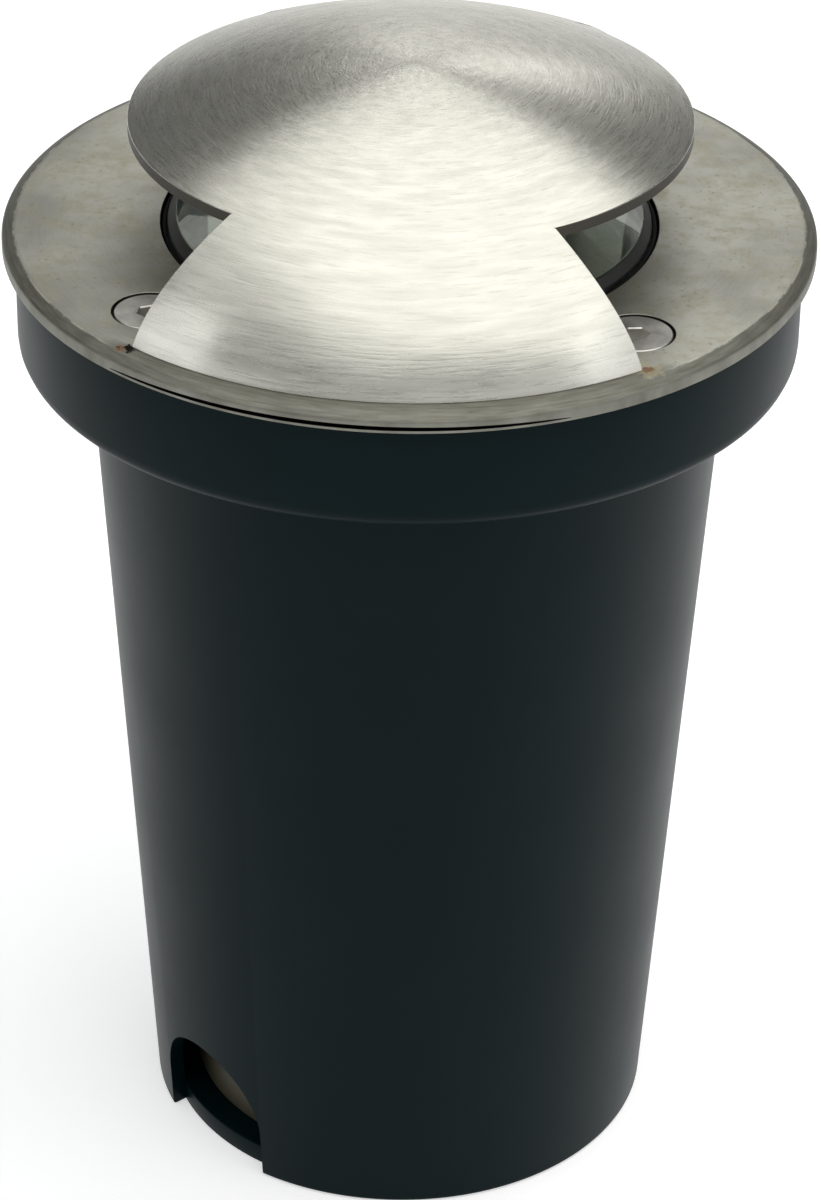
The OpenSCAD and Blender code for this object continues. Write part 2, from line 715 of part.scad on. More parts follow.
// Sealed driver with an ear at each end, under the shelf
module driver_case() {
    color("#2d3a4a") difference() {
        union() {
            translate([-driver_l / 2, -driver_w / 2, driver_z]) cube([driver_l, driver_w, driver_h]);
            for (side = [-1, 1])
                translate([side * driver_ear_x, 0, driver_top - driver_ear_t / 2])
                    cube([driver_ear_l, driver_ear_w, driver_ear_t], center = true);
        }
        for (side = [-1, 1]) translate([side * driver_screw_x, 0, driver_top - driver_ear_t - over])
            cylinder(r = small_screw_r + slide_gap, h = driver_ear_t + 2 * over, $fn = 32);
        translate([0, 0, driver_z - over])
            cylinder(r = mount_screw_r + hole_gap, h = mount_screw_grip + over + slide_gap, $fn = 32);
    }
}

// Two pan head screws that hold the driver to the shelf
module driver_screws() {
    color("#c9c9c4") for (side = [-1, 1])
        translate([side * driver_screw_x, 0, driver_top - driver_ear_t - small_head_h])
            pan_screw_up(driver_ear_t + small_thread_depth - small_head_h / 2);
}

// Two leads that loop from the driver's end down to the terminal block
module driver_leads() {
    color("#1c1c1c") for (side = [-1, 1]) wire([
        [side * pole_pitch / 2, -driver_w / 2, wire_top_z],
        [side * pole_pitch / 2, -wire_loop_y, wire_top_z],
        [side * pole_pitch / 2, -wire_loop_y, pole_z],
        [side * pole_pitch / 2, -wire_end_y, pole_z]], wire_r);
}

// Two pole terminal block under the driver
module terminal_block() {
    color("#e6e2d4") difference() {
        translate([-block_l / 2, -block_w / 2, block_z]) cube([block_l, block_w, block_h]);
        for (side = [-1, 1]) {
            translate([side * pole_pitch / 2, block_w / 2 + over, pole_z]) rotate([90, 0, 0])
                cylinder(r = pole_bore_r, h = block_w + 2 * over, $fn = 32);
            for (end = [-1, 1]) translate([side * pole_pitch / 2, end * clamp_y, block_z - over])
                cylinder(r = clamp_well_r, h = clamp_well_h + over, $fn = 32);
        }
        translate([0, 0, block_z - over])
            cylinder(r = mount_screw_r + slide_gap, h = block_h + 2 * over, $fn = 32);
    }
}

// Four clamp screws in the wells of the terminal block
module terminal_clamp_screws() {
    color("#c8b070") for (side = [-1, 1]) for (end = [-1, 1])
        translate([side * pole_pitch / 2, end * clamp_y, block_z + clamp_well_h / 2])
            cylinder(r = clamp_screw_r, h = clamp_well_h / 2, $fn = 32);
}

// The screw that holds the terminal block to the driver
module terminal_mount_screw() {
    head_r = 2 * mount_screw_r - slide_gap;
    color("#c9c9c4") {
        translate([0, 0, block_z - mount_screw_r]) cylinder(r = head_r, h = mount_screw_r, $fn = 32);
        translate([0, 0, block_z]) cylinder(r = mount_screw_r, h = block_h + mount_screw_grip, $fn = 32);
    }
}

// Cap that closes the driver chamber from below, with a skirt round the cable gland
module base_cap() {
    skirt_h = cap_z - skirt_z;
    groove_edge = o_ring_r + groove_gap;
    color("#8a6a4c") difference() {
        union() {
            translate([0, 0, cap_z]) cylinder(r = housing_foot_r, h = cap_t);
            translate([0, 0, skirt_z]) ring(skirt_r, skirt_r - skirt_wall, skirt_h + over);
        }
        translate([0, 0, cap_z - over]) cylinder(r = gland_r + close_gap, h = cap_t + 2 * over);
        translate([0, 0, housing_foot_z - 2 * o_ring_r])
            ring(o_ring_circle_r + groove_edge, o_ring_circle_r - groove_edge, 2 * o_ring_r + over);
        for (azimuth = base_azimuths)
            translate(at_azimuth(base_circle_r, azimuth)) translate([0, 0, cap_z - over])
                cylinder(r = small_screw_r + slide_gap, h = cap_t + 2 * over, $fn = 32);
        translate([0, 0, skirt_z]) rotate([0, 0, notch_azimuth + 180])
            arch(skirt_slot_w, skirt_slot_h, housing_foot_r);
    }
}

// Round seal in the groove of the base cap
module base_o_ring() {
    color("#101010") translate([0, 0, housing_foot_z - o_ring_r])
        rotate_extrude() translate([o_ring_circle_r, 0]) circle(r = o_ring_r, $fn = 32);
}

// Three pan head screws that hold the base cap
module base_screws() {
    color("#c9c9c4") for (azimuth = base_azimuths)
        translate(at_azimuth(base_circle_r, azimuth)) translate([0, 0, cap_z - small_head_h])
            pan_screw_up(base_screw_l);
}

// Body of the cable gland: a threaded neck, a hexagon and a threaded tail with a cup for the seal
module gland_body() {
    color("#232323") difference() {
        union() {
            translate([0, 0, gland_tail_z]) cylinder(r = gland_r, h = gland_head_top - gland_tail_z);
            translate([0, 0, gland_hex_z]) cylinder(r = hex_r(gland_hex), h = gland_hex_h, $fn = 6);
        }
        translate([0, 0, gland_tail_z - over])
            cylinder(r = gland_bore_r, h = gland_head_top - gland_tail_z + 2 * over);
        translate([0, 0, gland_tail_z - over]) cylinder(r = gland_cup_r, h = gland_seal_l + over);
    }
}

// Flat seal between the gland's hexagon and the base cap
module gland_washer() {
    color("#101010") translate([0, 0, gland_hex_top]) ring(washer_r, gland_r + close_gap, washer_t);
}

// Lock nut on the gland's neck, inside the driver chamber
module gland_lock_nut() {
    color("#3a3a3a") translate([0, 0, housing_foot_z]) difference() {
        cylinder(r = hex_r(lock_nut_hex), h = lock_nut_h, $fn = 6);
        translate([0, 0, -over]) cylinder(r = gland_r + gland_nut_gap, h = lock_nut_h + 2 * over);
    }
}

// Rubber insert that grips the cable
module gland_seal() {
    color("#0f0f0f") translate([0, 0, gland_tail_z])
        ring(gland_cup_r - gland_nut_gap, cable_r, gland_seal_l);
}

// Domed nut that presses the insert
module gland_nut() {
    color("#232323") difference() {
        intersection() {
            translate([0, 0, gland_nut_z]) cylinder(r = hex_r(gland_hex), h = gland_nut_h, $fn = 6);
            rotate_extrude() polygon([
                [0, gland_nut_z], [gland_hex / 2 - gland_dome_h / 2, gland_nut_z],
                [hex_r(gland_hex), gland_nut_z + gland_dome_h], [hex_r(gland_hex), gland_nut_top],
                [0, gland_nut_top]]);
        }
        translate([0, 0, gland_nut_z - over]) cylinder(r = gland_nut_mouth_r, h = gland_nut_h + 2 * over);
        translate([0, 0, gland_nut_top - gland_nut_lip_h])
            cylinder(r = gland_r + gland_nut_gap, h = gland_nut_lip_h + over);
    }
}

sleeve();
collar_seal();
face_plate();
dome_cover();
cover_screws();
lens_gasket();
glass_lens();
lens_seat_ring();
lamp_housing();
reflector();
led_chip();
led_board();
thermal_pad();
led_holder();
led_holder_screws();
shelf_grommet();
led_leads();
driver_case();
driver_screws();
driver_leads();
terminal_block();
terminal_clamp_screws();
terminal_mount_screw();
base_cap();
base_o_ring();
base_screws();
gland_body();
gland_washer();
gland_lock_nut();
gland_seal();
gland_nut();
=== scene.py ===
# %% [markdown]
# # In ground well light
# A domed stainless cover stands on two legs over a thick round glass. Under it a finned lamp unit sits in a
# tapered black sleeve. The CAD model gives every size and joint; this script gives the surfaces and
# finishes.

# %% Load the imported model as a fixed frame
import json
import math
import bmesh
import bpy
import numpy as np
from mathutils import Matrix, Vector


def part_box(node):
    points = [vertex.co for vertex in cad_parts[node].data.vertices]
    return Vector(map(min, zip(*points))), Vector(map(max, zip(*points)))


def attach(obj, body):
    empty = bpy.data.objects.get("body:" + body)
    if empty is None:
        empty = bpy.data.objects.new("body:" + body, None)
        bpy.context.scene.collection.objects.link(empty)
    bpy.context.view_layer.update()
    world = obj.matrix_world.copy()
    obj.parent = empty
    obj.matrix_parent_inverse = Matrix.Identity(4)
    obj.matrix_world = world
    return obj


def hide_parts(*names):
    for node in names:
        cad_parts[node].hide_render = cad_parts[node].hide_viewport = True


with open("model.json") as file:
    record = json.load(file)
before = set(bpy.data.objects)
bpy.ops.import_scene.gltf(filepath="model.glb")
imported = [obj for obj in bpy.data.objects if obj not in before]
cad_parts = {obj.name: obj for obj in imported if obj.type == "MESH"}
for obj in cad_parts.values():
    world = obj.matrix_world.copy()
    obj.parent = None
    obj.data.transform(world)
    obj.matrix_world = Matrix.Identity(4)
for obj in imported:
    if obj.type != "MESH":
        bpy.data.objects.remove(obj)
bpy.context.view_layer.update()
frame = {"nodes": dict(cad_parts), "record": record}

scene = bpy.context.scene
scene.view_settings.view_transform = "Standard"
mm = 0.001

# %% [markdown]
# ## The camera
# The picture was taken with a long lens from the front and above. The camera's place and its focal length
# were fitted to the light's own circles, so the plate, the collar and the foot land where the photograph
# has them. A camera looks along its own -Z, so its three axes are written as the columns of its rotation.

# %% Place the camera
view_azimuth = math.radians(3.9)
camera_distance = 540 * mm
camera_height = 412.04 * mm
aim_point = Vector((0.823 * mm, 0, 79.878 * mm))
camera_roll = 0.014
focal_length_mm, sensor_width_mm = 133.77, 36


def camera_matrix():
    """Look from the camera's place to the aim point, roll about that line, then turn all of it about the z
    axis."""
    place = Vector((0, -camera_distance, camera_height))
    forward = (aim_point - place).normalized()
    level_right = forward.cross(Vector((0, 0, 1))).normalized()
    level_up = level_right.cross(forward)
    right = math.cos(camera_roll) * level_right + math.sin(camera_roll) * level_up
    up = math.cos(camera_roll) * level_up - math.sin(camera_roll) * level_right
    axes = Matrix((right, up, -forward)).transposed().to_4x4()
    return Matrix.Rotation(view_azimuth, 4, "Z") @ Matrix.Translation(place) @ axes


camera_data = bpy.data.cameras.new("photo_camera")
camera_data.lens = focal_length_mm
camera_data.sensor_width = sensor_width_mm
camera_data.clip_start = 10 * mm
camera = bpy.data.objects.new("photo_camera", camera_data)
camera.matrix_world = camera_matrix()
scene.collection.objects.link(camera)
scene.camera = camera
print("camera at", [round(v, 3) for v in camera.location])

# %% [markdown]
# ## Surfaces from arrays
# Every new piece is a grid of points worked out in one go, with quads between neighbours. A few helpers are
# enough: one for the quads, one that rounds the corners of an outline, one that turns an outline round the
# axis, and one that gives a point from its radius and azimuth. Grids that share a border are merged
# afterwards, so each piece is one closed skin.

# %% Helpers for grids and turned pieces
full_turn = 2 * math.pi


def grid_faces(rows, columns, wrap_rows=False, wrap_columns=False):
    """Quads between neighbouring points of a grid that is stored row by row; a wrapped side joins its
    ends."""
    row = np.arange(rows if wrap_rows else rows - 1)[:, None]
    column = np.arange(columns if wrap_columns else columns - 1)[None, :]
    next_row = (row + 1) % rows
    next_column = (column + 1) % columns
    corners = [row * columns + column, row * columns + next_column,
               next_row * columns + next_column, next_row * columns + column]
    return np.stack(corners, axis=-1).reshape(-1, 4)


def rounded(outline, radius, steps=3):
    """Swap each corner of a closed outline for a curve (1-t)^2 A + 2 t (1-t) corner + t^2 B, where A and B
    lie on the two edges at the radius from the corner, or at 0.45 of a shorter edge."""
    corner = np.array(outline, float)
    radius = np.broadcast_to(np.array(radius, float), len(corner))[:, None]
    back, ahead = np.roll(corner, 1, 0) - corner, np.roll(corner, -1, 0) - corner
    back_length = np.linalg.norm(back, axis=1, keepdims=True)
    ahead_length = np.linalg.norm(ahead, axis=1, keepdims=True)
    cut = np.minimum(radius, 0.45 * np.minimum(back_length, ahead_length))
    start = (corner + back / back_length * cut)[:, None, :]
    end = (corner + ahead / ahead_length * cut)[:, None, :]
    t = np.linspace(0, 1, steps + 1)[None, :, None]
    curve = (1 - t) ** 2 * start + 2 * t * (1 - t) * corner[:, None, :] + t ** 2 * end
    return curve.reshape(-1, 2)


def turned(outline, sides=256):
    """Carry a closed outline of (radius, height) round the z axis: x = r cos a, y = r sin a, z = height."""
    angle = np.linspace(0, full_turn, sides, endpoint=False)[None, :]
    radius, height = outline[:, 0, None], outline[:, 1, None]
    points = np.stack([radius * np.cos(angle), radius * np.sin(angle), height + 0 * angle], axis=-1)
    return points.reshape(-1, 3), grid_faces(len(outline), sides, wrap_rows=True, wrap_columns=True)


def grid(points, wrap_columns=False):
    """A grid of points with its quads, from an array of rows x columns x 3."""
    rows, columns = points.shape[:2]
    return points.reshape(-1, 3), grid_faces(rows, columns, wrap_columns=wrap_columns)


def at_azimuth(radius, azimuth, height):
    """A point at a radius, an azimuth counted from -y towards +x, and a height, for whole arrays."""
    radius, azimuth, height = np.broadcast_arrays(radius, azimuth, height)
    return np.stack([radius * np.sin(azimuth), -radius * np.cos(azimuth), height], axis=-1)


# %% [markdown]
# A finished piece needs four things more: a mesh, normals that point outwards, smooth shading that breaks
# at real edges, and a body to ride on. `make_piece` does the first three, and `hand_over` the last. Holes
# off a piece's own axis are taken out by `cut`, and `soften_edges` gives thin sheet the small radius that
# real edges have.

# %% Helpers that make and hand over a piece
weld_distance, sliver_length = 0.002 * mm, 0.001 * mm


def make_piece(name, surfaces, sharp_angle=math.radians(34)):
    """Join surfaces of (points, faces), merge the points that they share, and turn all faces outwards."""
    starts = np.cumsum([0] + [len(points) for points, faces in surfaces])
    points = np.concatenate([points for points, faces in surfaces])
    faces = np.concatenate([faces + start for (_, faces), start in zip(surfaces, starts)])
    mesh = bpy.data.meshes.new(name)
    mesh.from_pydata(points, [], faces)
    work = bmesh.new()
    work.from_mesh(mesh)
    bmesh.ops.remove_doubles(work, verts=work.verts, dist=weld_distance)
    bmesh.ops.dissolve_degenerate(work, edges=work.edges, dist=sliver_length)
    bmesh.ops.recalc_face_normals(work, faces=work.faces)
    work.to_mesh(mesh)
    work.free()
    mesh.shade_smooth()
    mesh.set_sharp_from_angle(angle=sharp_angle)
    piece = bpy.data.objects.new(name, mesh)
    scene.collection.objects.link(piece)
    print(name, "has", len(mesh.polygons), "faces")
    return piece


def cut(piece, cutters):
    """Take closed cutters away from a piece, apply the result, and remove the cutters."""
    for cutter in cutters:
        modifier = piece.modifiers.new("cut", "BOOLEAN")
        modifier.operation = "DIFFERENCE"
        modifier.solver = "EXACT"
        modifier.object = cutter
    graph = bpy.context.evaluated_depsgraph_get()
    result = bpy.data.meshes.new_from_object(piece.evaluated_get(graph))
    piece.modifiers.clear()
    piece.data = result
    result.shade_smooth()
    result.set_sharp_from_angle(angle=math.radians(34))
    for cutter in cutters:
        bpy.data.objects.remove(cutter)


def soften_edges(piece, width):
    """A live bevel of two steps that rounds every edge sharper than 50 degrees."""
    bevel = piece.modifiers.new("soft edges", "BEVEL")
    bevel.width = width
    bevel.segments = 2
    bevel.limit_method = "ANGLE"
    bevel.angle_limit = math.radians(50)
    bevel.harden_normals = True


def hand_over(piece, body, slot, *nodes):
    """The piece rides on a body and stands for CAD nodes, which are hidden; the slot is not used."""
    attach(piece, body)
    if nodes:
        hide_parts(*nodes)


# %% [markdown]
# ## Sizes from the frame
# What the CAD model already knows is read from its boxes. The few sizes that a box doesn't tell, such as a
# sheet's thickness, are named here in millimetres.

# %% Read the main sizes
plate_low, plate_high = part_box("face_plate")
dome_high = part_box("dome_cover")[1]
sleeve_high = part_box("sleeve")[1]
glass_low, glass_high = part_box("glass_lens")
screws_low, screws_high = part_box("cover_screws")
gasket_low, gasket_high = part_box("lens_gasket")
plate_z, plate_top, plate_r = plate_low.z, plate_high.z, plate_high.y
dome_foot_r, dome_top = dome_high.y, dome_high.z
collar_top, collar_r = sleeve_high.z, sleeve_high.x
glass_z, glass_top, glass_step_r = glass_low.z, glass_high.z, glass_high.x
print("plate radius in mm:", round(plate_r / mm, 2), "and dome top:", round(dome_top / mm, 2))

# %% [markdown]
# ## The dome
# The real cover is pressed from 1.5 mm sheet: a shallow crown whose edge turns down over a rounder
# shoulder. Two windows are blanked out straight down, so a round cap stays on a front and a rear leg. A
# pressed shape that is cut with booleans would have ragged rows of faces along the cut. Here the rows
# follow the shape instead: the cap has rings round the apex, and each leg has rows that end on the cut
# line, which bows in a little. Outer skin, inner skin and the walls between them are grids that share their
# borders.

# %% Shape of the dome's skin
dome_sheet = 1.5 * mm
crown_r, shoulder_r = 100 * mm, 24 * mm
cap_setback = 17.2 * mm
neck_azimuth = math.radians(33.2)
foot_azimuth = math.radians(39.2)
leg_waist = 0.9 * mm
crown_z = dome_top - crown_r
cap_rim_r = plate_r - cap_setback
cap_rim_z = crown_z + math.sqrt(crown_r ** 2 - cap_rim_r ** 2)
rim_normal = np.array([cap_rim_r, cap_rim_z - crown_z]) / crown_r
shoulder_centre = np.array([cap_rim_r, cap_rim_z]) - shoulder_r * rim_normal
neck_point = at_azimuth(cap_rim_r, neck_azimuth, 0)[:2]
foot_point = at_azimuth(dome_foot_r, foot_azimuth, 0)[:2]
leg_columns, window_columns = 60, 80
cap_rows, leg_rows = 48, 40
print("height of the cap's rim in mm:", round(cap_rim_z / mm, 2))


def skin_height(plan, inset):
    """Height of the outer face at a plan radius, drawn in by an inset: sphere z + sqrt(R^2 - r^2) on the
    crown, and past its edge the shoulder's arc z + sqrt(R^2 - (r - centre)^2)."""
    crown = crown_z + np.sqrt((crown_r - inset) ** 2 - plan ** 2)
    past_centre = plan - shoulder_centre[0]
    shoulder = shoulder_centre[1] + np.sqrt(np.maximum((shoulder_r - inset) ** 2 - past_centre ** 2, 0))
    return np.where(plan < cap_rim_r - inset * rim_normal[0], crown, shoulder)


def leg_edge_azimuth(radius):
    """Azimuth where a circle of this radius meets the cut line neck + t (foot - neck) + 4 t (1 - t) waist
    inward."""
    way = foot_point - neck_point
    inward = np.array([way[1], -way[0]]) / np.linalg.norm(way)
    t = np.linspace(0, 1, 401)[:, None]
    place = neck_point + t * way + 4 * t * (1 - t) * leg_waist * inward
    return np.interp(radius, np.linalg.norm(place, axis=1), np.arctan2(place[:, 0], -place[:, 1]))


# %% Make the dome
def cap_grid(inset):
    """Rings at even plan radii from the apex to the rim. Over each leg and each window the azimuths step
    evenly."""
    leg = np.linspace(-neck_azimuth, neck_azimuth, leg_columns + 1)[:-1]
    window = np.linspace(neck_azimuth, math.pi - neck_azimuth, window_columns + 1)[:-1]
    azimuth = np.concatenate([leg, window, leg + math.pi, window + math.pi])
    plan = np.linspace(0, cap_rim_r, cap_rows + 1)[:, None]
    return at_azimuth(plan, azimuth[None, :], skin_height(plan, inset))


def leg_grid(inset, side):
    """Rows at even angles of the shoulder's arc, spread between the cut lines: azimuth = share x edge
    azimuth."""
    radius = shoulder_r - inset
    first = math.asin((cap_rim_r - shoulder_centre[0]) / radius)
    last = math.acos((plate_top - shoulder_centre[1]) / radius)
    plan = shoulder_centre[0] + radius * np.sin(np.linspace(first, last, leg_rows + 1))
    share = np.linspace(-1, 1, leg_columns + 1)[None, :]
    azimuth = side + share * leg_edge_azimuth(plan)[:, None]
    return at_azimuth(plan[:, None], azimuth, skin_height(plan, inset)[:, None])


def wall_between(outer_line, inner_line):
    """A narrow wall from a line of points on the outer skin to the matching line on the inner skin."""
    return grid(np.linspace(outer_line, inner_line, 3))


outer_cap, inner_cap = cap_grid(0), cap_grid(dome_sheet)
dome_surfaces = [grid(outer_cap, wrap_columns=True), grid(inner_cap, wrap_columns=True)]
for side, first in ((0, 0), (math.pi, leg_columns + window_columns)):
    outer_leg, inner_leg = leg_grid(0, side), leg_grid(dome_sheet, side)
    dome_surfaces += [grid(outer_leg), grid(inner_leg)]
    for border in ((slice(None), 0), (slice(None), -1), (-1, slice(None))):
        dome_surfaces.append(wall_between(outer_leg[border], inner_leg[border]))
    window = (np.arange(window_columns + 1) + first + leg_columns) % outer_cap.shape[1]
    dome_surfaces.append(wall_between(outer_cap[-1, window], inner_cap[-1, window]))
dome_shell = make_piece("dome_shell", dome_surfaces, sharp_angle=math.radians(40))
soften_edges(dome_shell, width=0.12 * mm)
hand_over(dome_shell, "cover", "dome_steel", "dome_cover")

# %% [markdown]
# ## The face plate
# The plate is turned from sheet: a bevel round its top edge, a round hole for the glass, a shallow groove
# in its rim and four countersunk holes. The turned outline is one grid. The holes and the groove are off
# its axis, so they are cut from it with closed cutters, which keeps their edges crisp.

# %% Make the plate
plate_bore_r = 33.6 * mm
plate_bevel = (1.6 * mm, 0.8 * mm)
screw_circle_r = 43.5 * mm
screw_azimuth = math.radians(46.5)
screw_azimuths = [screw_azimuth, -screw_azimuth, math.pi - screw_azimuth, math.pi + screw_azimuth]
hole_r, sink_r = 2.9 * mm, 5.15 * mm
groove_h, groove_lip_h, groove_depth = 0.6 * mm, 0.4 * mm, 0.9 * mm
groove_azimuth, groove_half_angle = math.radians(-7), math.radians(32)
past = 1 * mm

plate_outline = [(plate_bore_r, plate_z), (plate_r, plate_z), (plate_r, plate_top - plate_bevel[1]),
                 (plate_r - plate_bevel[0], plate_top), (plate_bore_r, plate_top)]
plate_rounding = np.array([0.1, 0.15, 0.35, 0.5, 0.25]) * mm
plate_disc = make_piece("plate_disc", [turned(rounded(plate_outline, plate_rounding, steps=4), sides=360)])


def countersink_cutter(azimuth):
    """A stepped cone turned about its own axis, then moved to its place on the screw circle."""
    cone_h = sink_r - hole_r
    outline = np.array([(0, plate_z - past), (hole_r, plate_z - past), (hole_r, plate_top - cone_h),
                        (sink_r, plate_top), (sink_r, plate_top + past), (0, plate_top + past)])
    points, faces = turned(outline, sides=96)
    return make_piece("cutter", [(points + at_azimuth(screw_circle_r, azimuth, 0), faces)])


def groove_cutter():
    """A crescent between the plate's rim and a circle that is shifted back along the groove's azimuth. Its
    roof comes down almost to its floor at both ends: height = groove height x sqrt(1 - (0.995 share)^2)."""
    shift = groove_depth / (1 - math.cos(groove_half_angle))
    inner_r = plate_r - groove_depth + shift
    share = np.linspace(-1, 1, 97)
    span = share * (groove_half_angle + math.radians(1))
    centre = at_azimuth(-shift, groove_azimuth, 0)
    inner_half = np.arcsin(np.sin(span) * (plate_r / inner_r))
    inner = at_azimuth(inner_r, groove_azimuth + inner_half, 0) + centre
    outer = at_azimuth(plate_r + past, groove_azimuth + span, 0)
    low = np.array([0, 0, plate_z + groove_lip_h])
    high = low + np.outer(np.sqrt(1 - (0.995 * share) ** 2), (0, 0, groove_h))
    ring = [inner + low, outer + low, outer + high, inner + high]
    rows = np.stack(ring + ring[:1])
    caps = [grid(np.stack([rows[0:2, end], rows[3:1:-1, end]])) for end in (0, -1)]
    return make_piece("cutter", [grid(rows)] + caps)


cut(plate_disc, [countersink_cutter(azimuth) for azimuth in screw_azimuths] + [groove_cutter()])
hand_over(plate_disc, "cover", "plate_steel", "face_plate")

# %% [markdown]
# ## The cover screws
# Each screw has a countersunk head with a hexagon socket. All its skin is one grid whose rows run from the
# tip of the shank over the head and down into the socket. A row is round where the screw is round, and in
# the socket its radius follows the hexagon: half the width across the flats divided by the cosine of the
# angle to the nearest flat.

# %% Make the four screws
screw_r, head_r, head_land = 2.5 * mm, 4.75 * mm, 0.2 * mm
socket_half, socket_depth = 1.5 * mm, 1.8 * mm
screw_low, screw_top = screws_low.z, screws_high.z
socket_turns = [math.radians(a) for a in (8, 24, -13, 41)]


def screw_surface(azimuth, turn):
    """Rows of (radius, height) from the tip to the head's top, then rows of (half width, height) down the
    socket, carried round the screw's own axis and moved to its place."""
    angle = np.linspace(0, full_turn, 120, endpoint=False)
    to_flat = (angle - turn + math.pi / 6) % (math.pi / 3) - math.pi / 6
    hexagon = 1 / np.cos(to_flat)
    cone_h = head_r - screw_r
    neck_z = screw_top - head_land - cone_h
    edge, lip = 0.12 * mm, 0.15 * mm
    round_rows = [(0, screw_low), (screw_r - edge, screw_low), (screw_r, screw_low + edge),
                  (screw_r, neck_z), (head_r, screw_top - head_land), (head_r, screw_top - edge),
                  (head_r - edge, screw_top), (head_r - 5 * edge, screw_top)]
    hexagon_rows = [(socket_half + lip, screw_top), (socket_half, screw_top - lip),
                    (socket_half, screw_top - socket_depth), (0, screw_top - socket_depth - 2 * lip)]
    rows = [at_azimuth(r, angle, z) for r, z in round_rows]
    rows += [at_azimuth(r * hexagon, angle, z) for r, z in hexagon_rows]
    points, faces = grid(np.stack(rows), wrap_columns=True)
    return points + at_azimuth(screw_circle_r, azimuth, 0), faces


screw_surfaces = [screw_surface(azimuth, turn) for azimuth, turn in zip(screw_azimuths, socket_turns)]
socket_screws = make_piece("socket_screws", screw_surfaces)
hand_over(socket_screws, "cover", "screw_steel", "cover_screws")

# %% [markdown]
# ## Glass and gasket
# The glass is thick and stepped, with a ground bevel that stands a little proud of the plate. A black
# rubber lip fills the gap round it. Both are turned, and their edges are rounded enough to catch a thin
# line of light.

# %% Make the glass and its gasket
glass_r, glass_step_t, glass_bevel = 32.7 * mm, 4.2 * mm, 1.1 * mm
glass_outline = [(0, glass_z), (glass_step_r, glass_z), (glass_step_r, glass_z + glass_step_t),
                 (glass_r, glass_z + glass_step_t), (glass_r, glass_top - glass_bevel),
                 (glass_r - glass_bevel, glass_top), (0, glass_top)]
glass_rounding = np.array([0, 0.3, 0.3, 0.2, 0.25, 0.3, 0]) * mm
glass_disc = make_piece("glass_disc", [turned(rounded(glass_outline, glass_rounding, steps=4))])
hand_over(glass_disc, "lamp_unit", "lens_glass", "glass_lens")

gasket_bore_r, gasket_lip_r = glass_r + 0.1 * mm, plate_bore_r - 0.2 * mm
gasket_lip_low = plate_z - 0.1 * mm
gasket_outline = [(gasket_bore_r, gasket_low.z), (gasket_high.x, gasket_low.z),
                  (gasket_high.x, gasket_lip_low), (gasket_lip_r, gasket_lip_low),
                  (gasket_lip_r, gasket_high.z), (gasket_bore_r, gasket_high.z)]
gasket_rounding = np.array([0.1, 0.3, 0.3, 0.1, 0.25, 0.25]) * mm
gasket_ring = make_piece("gasket_ring", [turned(rounded(gasket_outline, gasket_rounding, steps=4))])
hand_over(gasket_ring, "lamp_unit", "seal_rubber", "lens_gasket")

# %% [markdown]
# ## The ground sleeve
# The sleeve is moulded: a tapered tube that widens into a collar, with a floor and two arched cable
# notches. The tube and collar are one turned outline with soft corners. The notches are cut with an arched
# cutter, and the floor is a second turned outline that shows its edge in the notch.

# %% Make the sleeve
tube_foot_r, tube_top_r, tube_wall = 36.2 * mm, 43.8 * mm, 2.3 * mm
collar_z, collar_wall = 123 * mm, 2.4 * mm
floor_t, drain_r = 3 * mm, 8 * mm
notch_w, notch_h, notch_azimuth = 21.4 * mm, 18 * mm, math.radians(-46)
ledge_z = collar_z + tube_wall
floor_edge_r = tube_foot_r - tube_wall + 0.23 * mm

sleeve_outline = [(tube_foot_r - tube_wall, 0), (tube_foot_r, 0), (tube_top_r, collar_z),
                  (collar_r, collar_z), (collar_r, collar_top), (collar_r - collar_wall, collar_top),
                  (collar_r - collar_wall, ledge_z), (tube_top_r - tube_wall, ledge_z),
                  (tube_top_r - tube_wall, collar_z)]
sleeve_rounding = np.array([0.3, 0.6, 0.8, 2.4, 0.5, 0.3, 0.3, 0.3, 0]) * mm
sleeve_skin = turned(rounded(sleeve_outline, sleeve_rounding, steps=5), sides=360)
sleeve_wall = make_piece("sleeve_wall", [sleeve_skin])


def notch_cutter(azimuth):
    """An arch outline in (across, up), carried outwards along the azimuth from half the tube's radius to
    1.2 times it, with a face at both ends."""
    half = notch_w / 2
    arch = np.linspace(0, math.pi, 41)
    across = np.concatenate([[-half, half], half * np.cos(arch)])
    up = np.concatenate([[-past, -past], notch_h - half + half * np.sin(arch)])
    side_way = np.array([math.cos(azimuth), math.sin(azimuth), 0])
    out_way = np.array([math.sin(azimuth), -math.cos(azimuth), 0])
    lines = across[:, None] * side_way + up[:, None] * np.array([0, 0, 1])
    rows = np.stack([lines + share * tube_top_r * out_way for share in (0.5, 1.2)])
    points, faces = grid(rows, wrap_columns=True)
    piece = make_piece("cutter", [(points, faces)])
    work = bmesh.new()
    work.from_mesh(piece.data)
    bmesh.ops.holes_fill(work, edges=work.edges, sides=0)
    bmesh.ops.recalc_face_normals(work, faces=work.faces)
    work.to_mesh(piece.data)
    work.free()
    return piece


cut(sleeve_wall, [notch_cutter(notch_azimuth), notch_cutter(notch_azimuth + math.pi)])
hand_over(sleeve_wall, "ground_sleeve", "sleeve_plastic", "sleeve")

floor_outline = [(drain_r, 0), (floor_edge_r, 0), (floor_edge_r, floor_t), (drain_r, floor_t)]
sleeve_floor = make_piece("sleeve_floor", [turned(rounded(floor_outline, 0.25 * mm), sides=180)])
hand_over(sleeve_floor, "ground_sleeve", "sleeve_plastic", "sleeve")

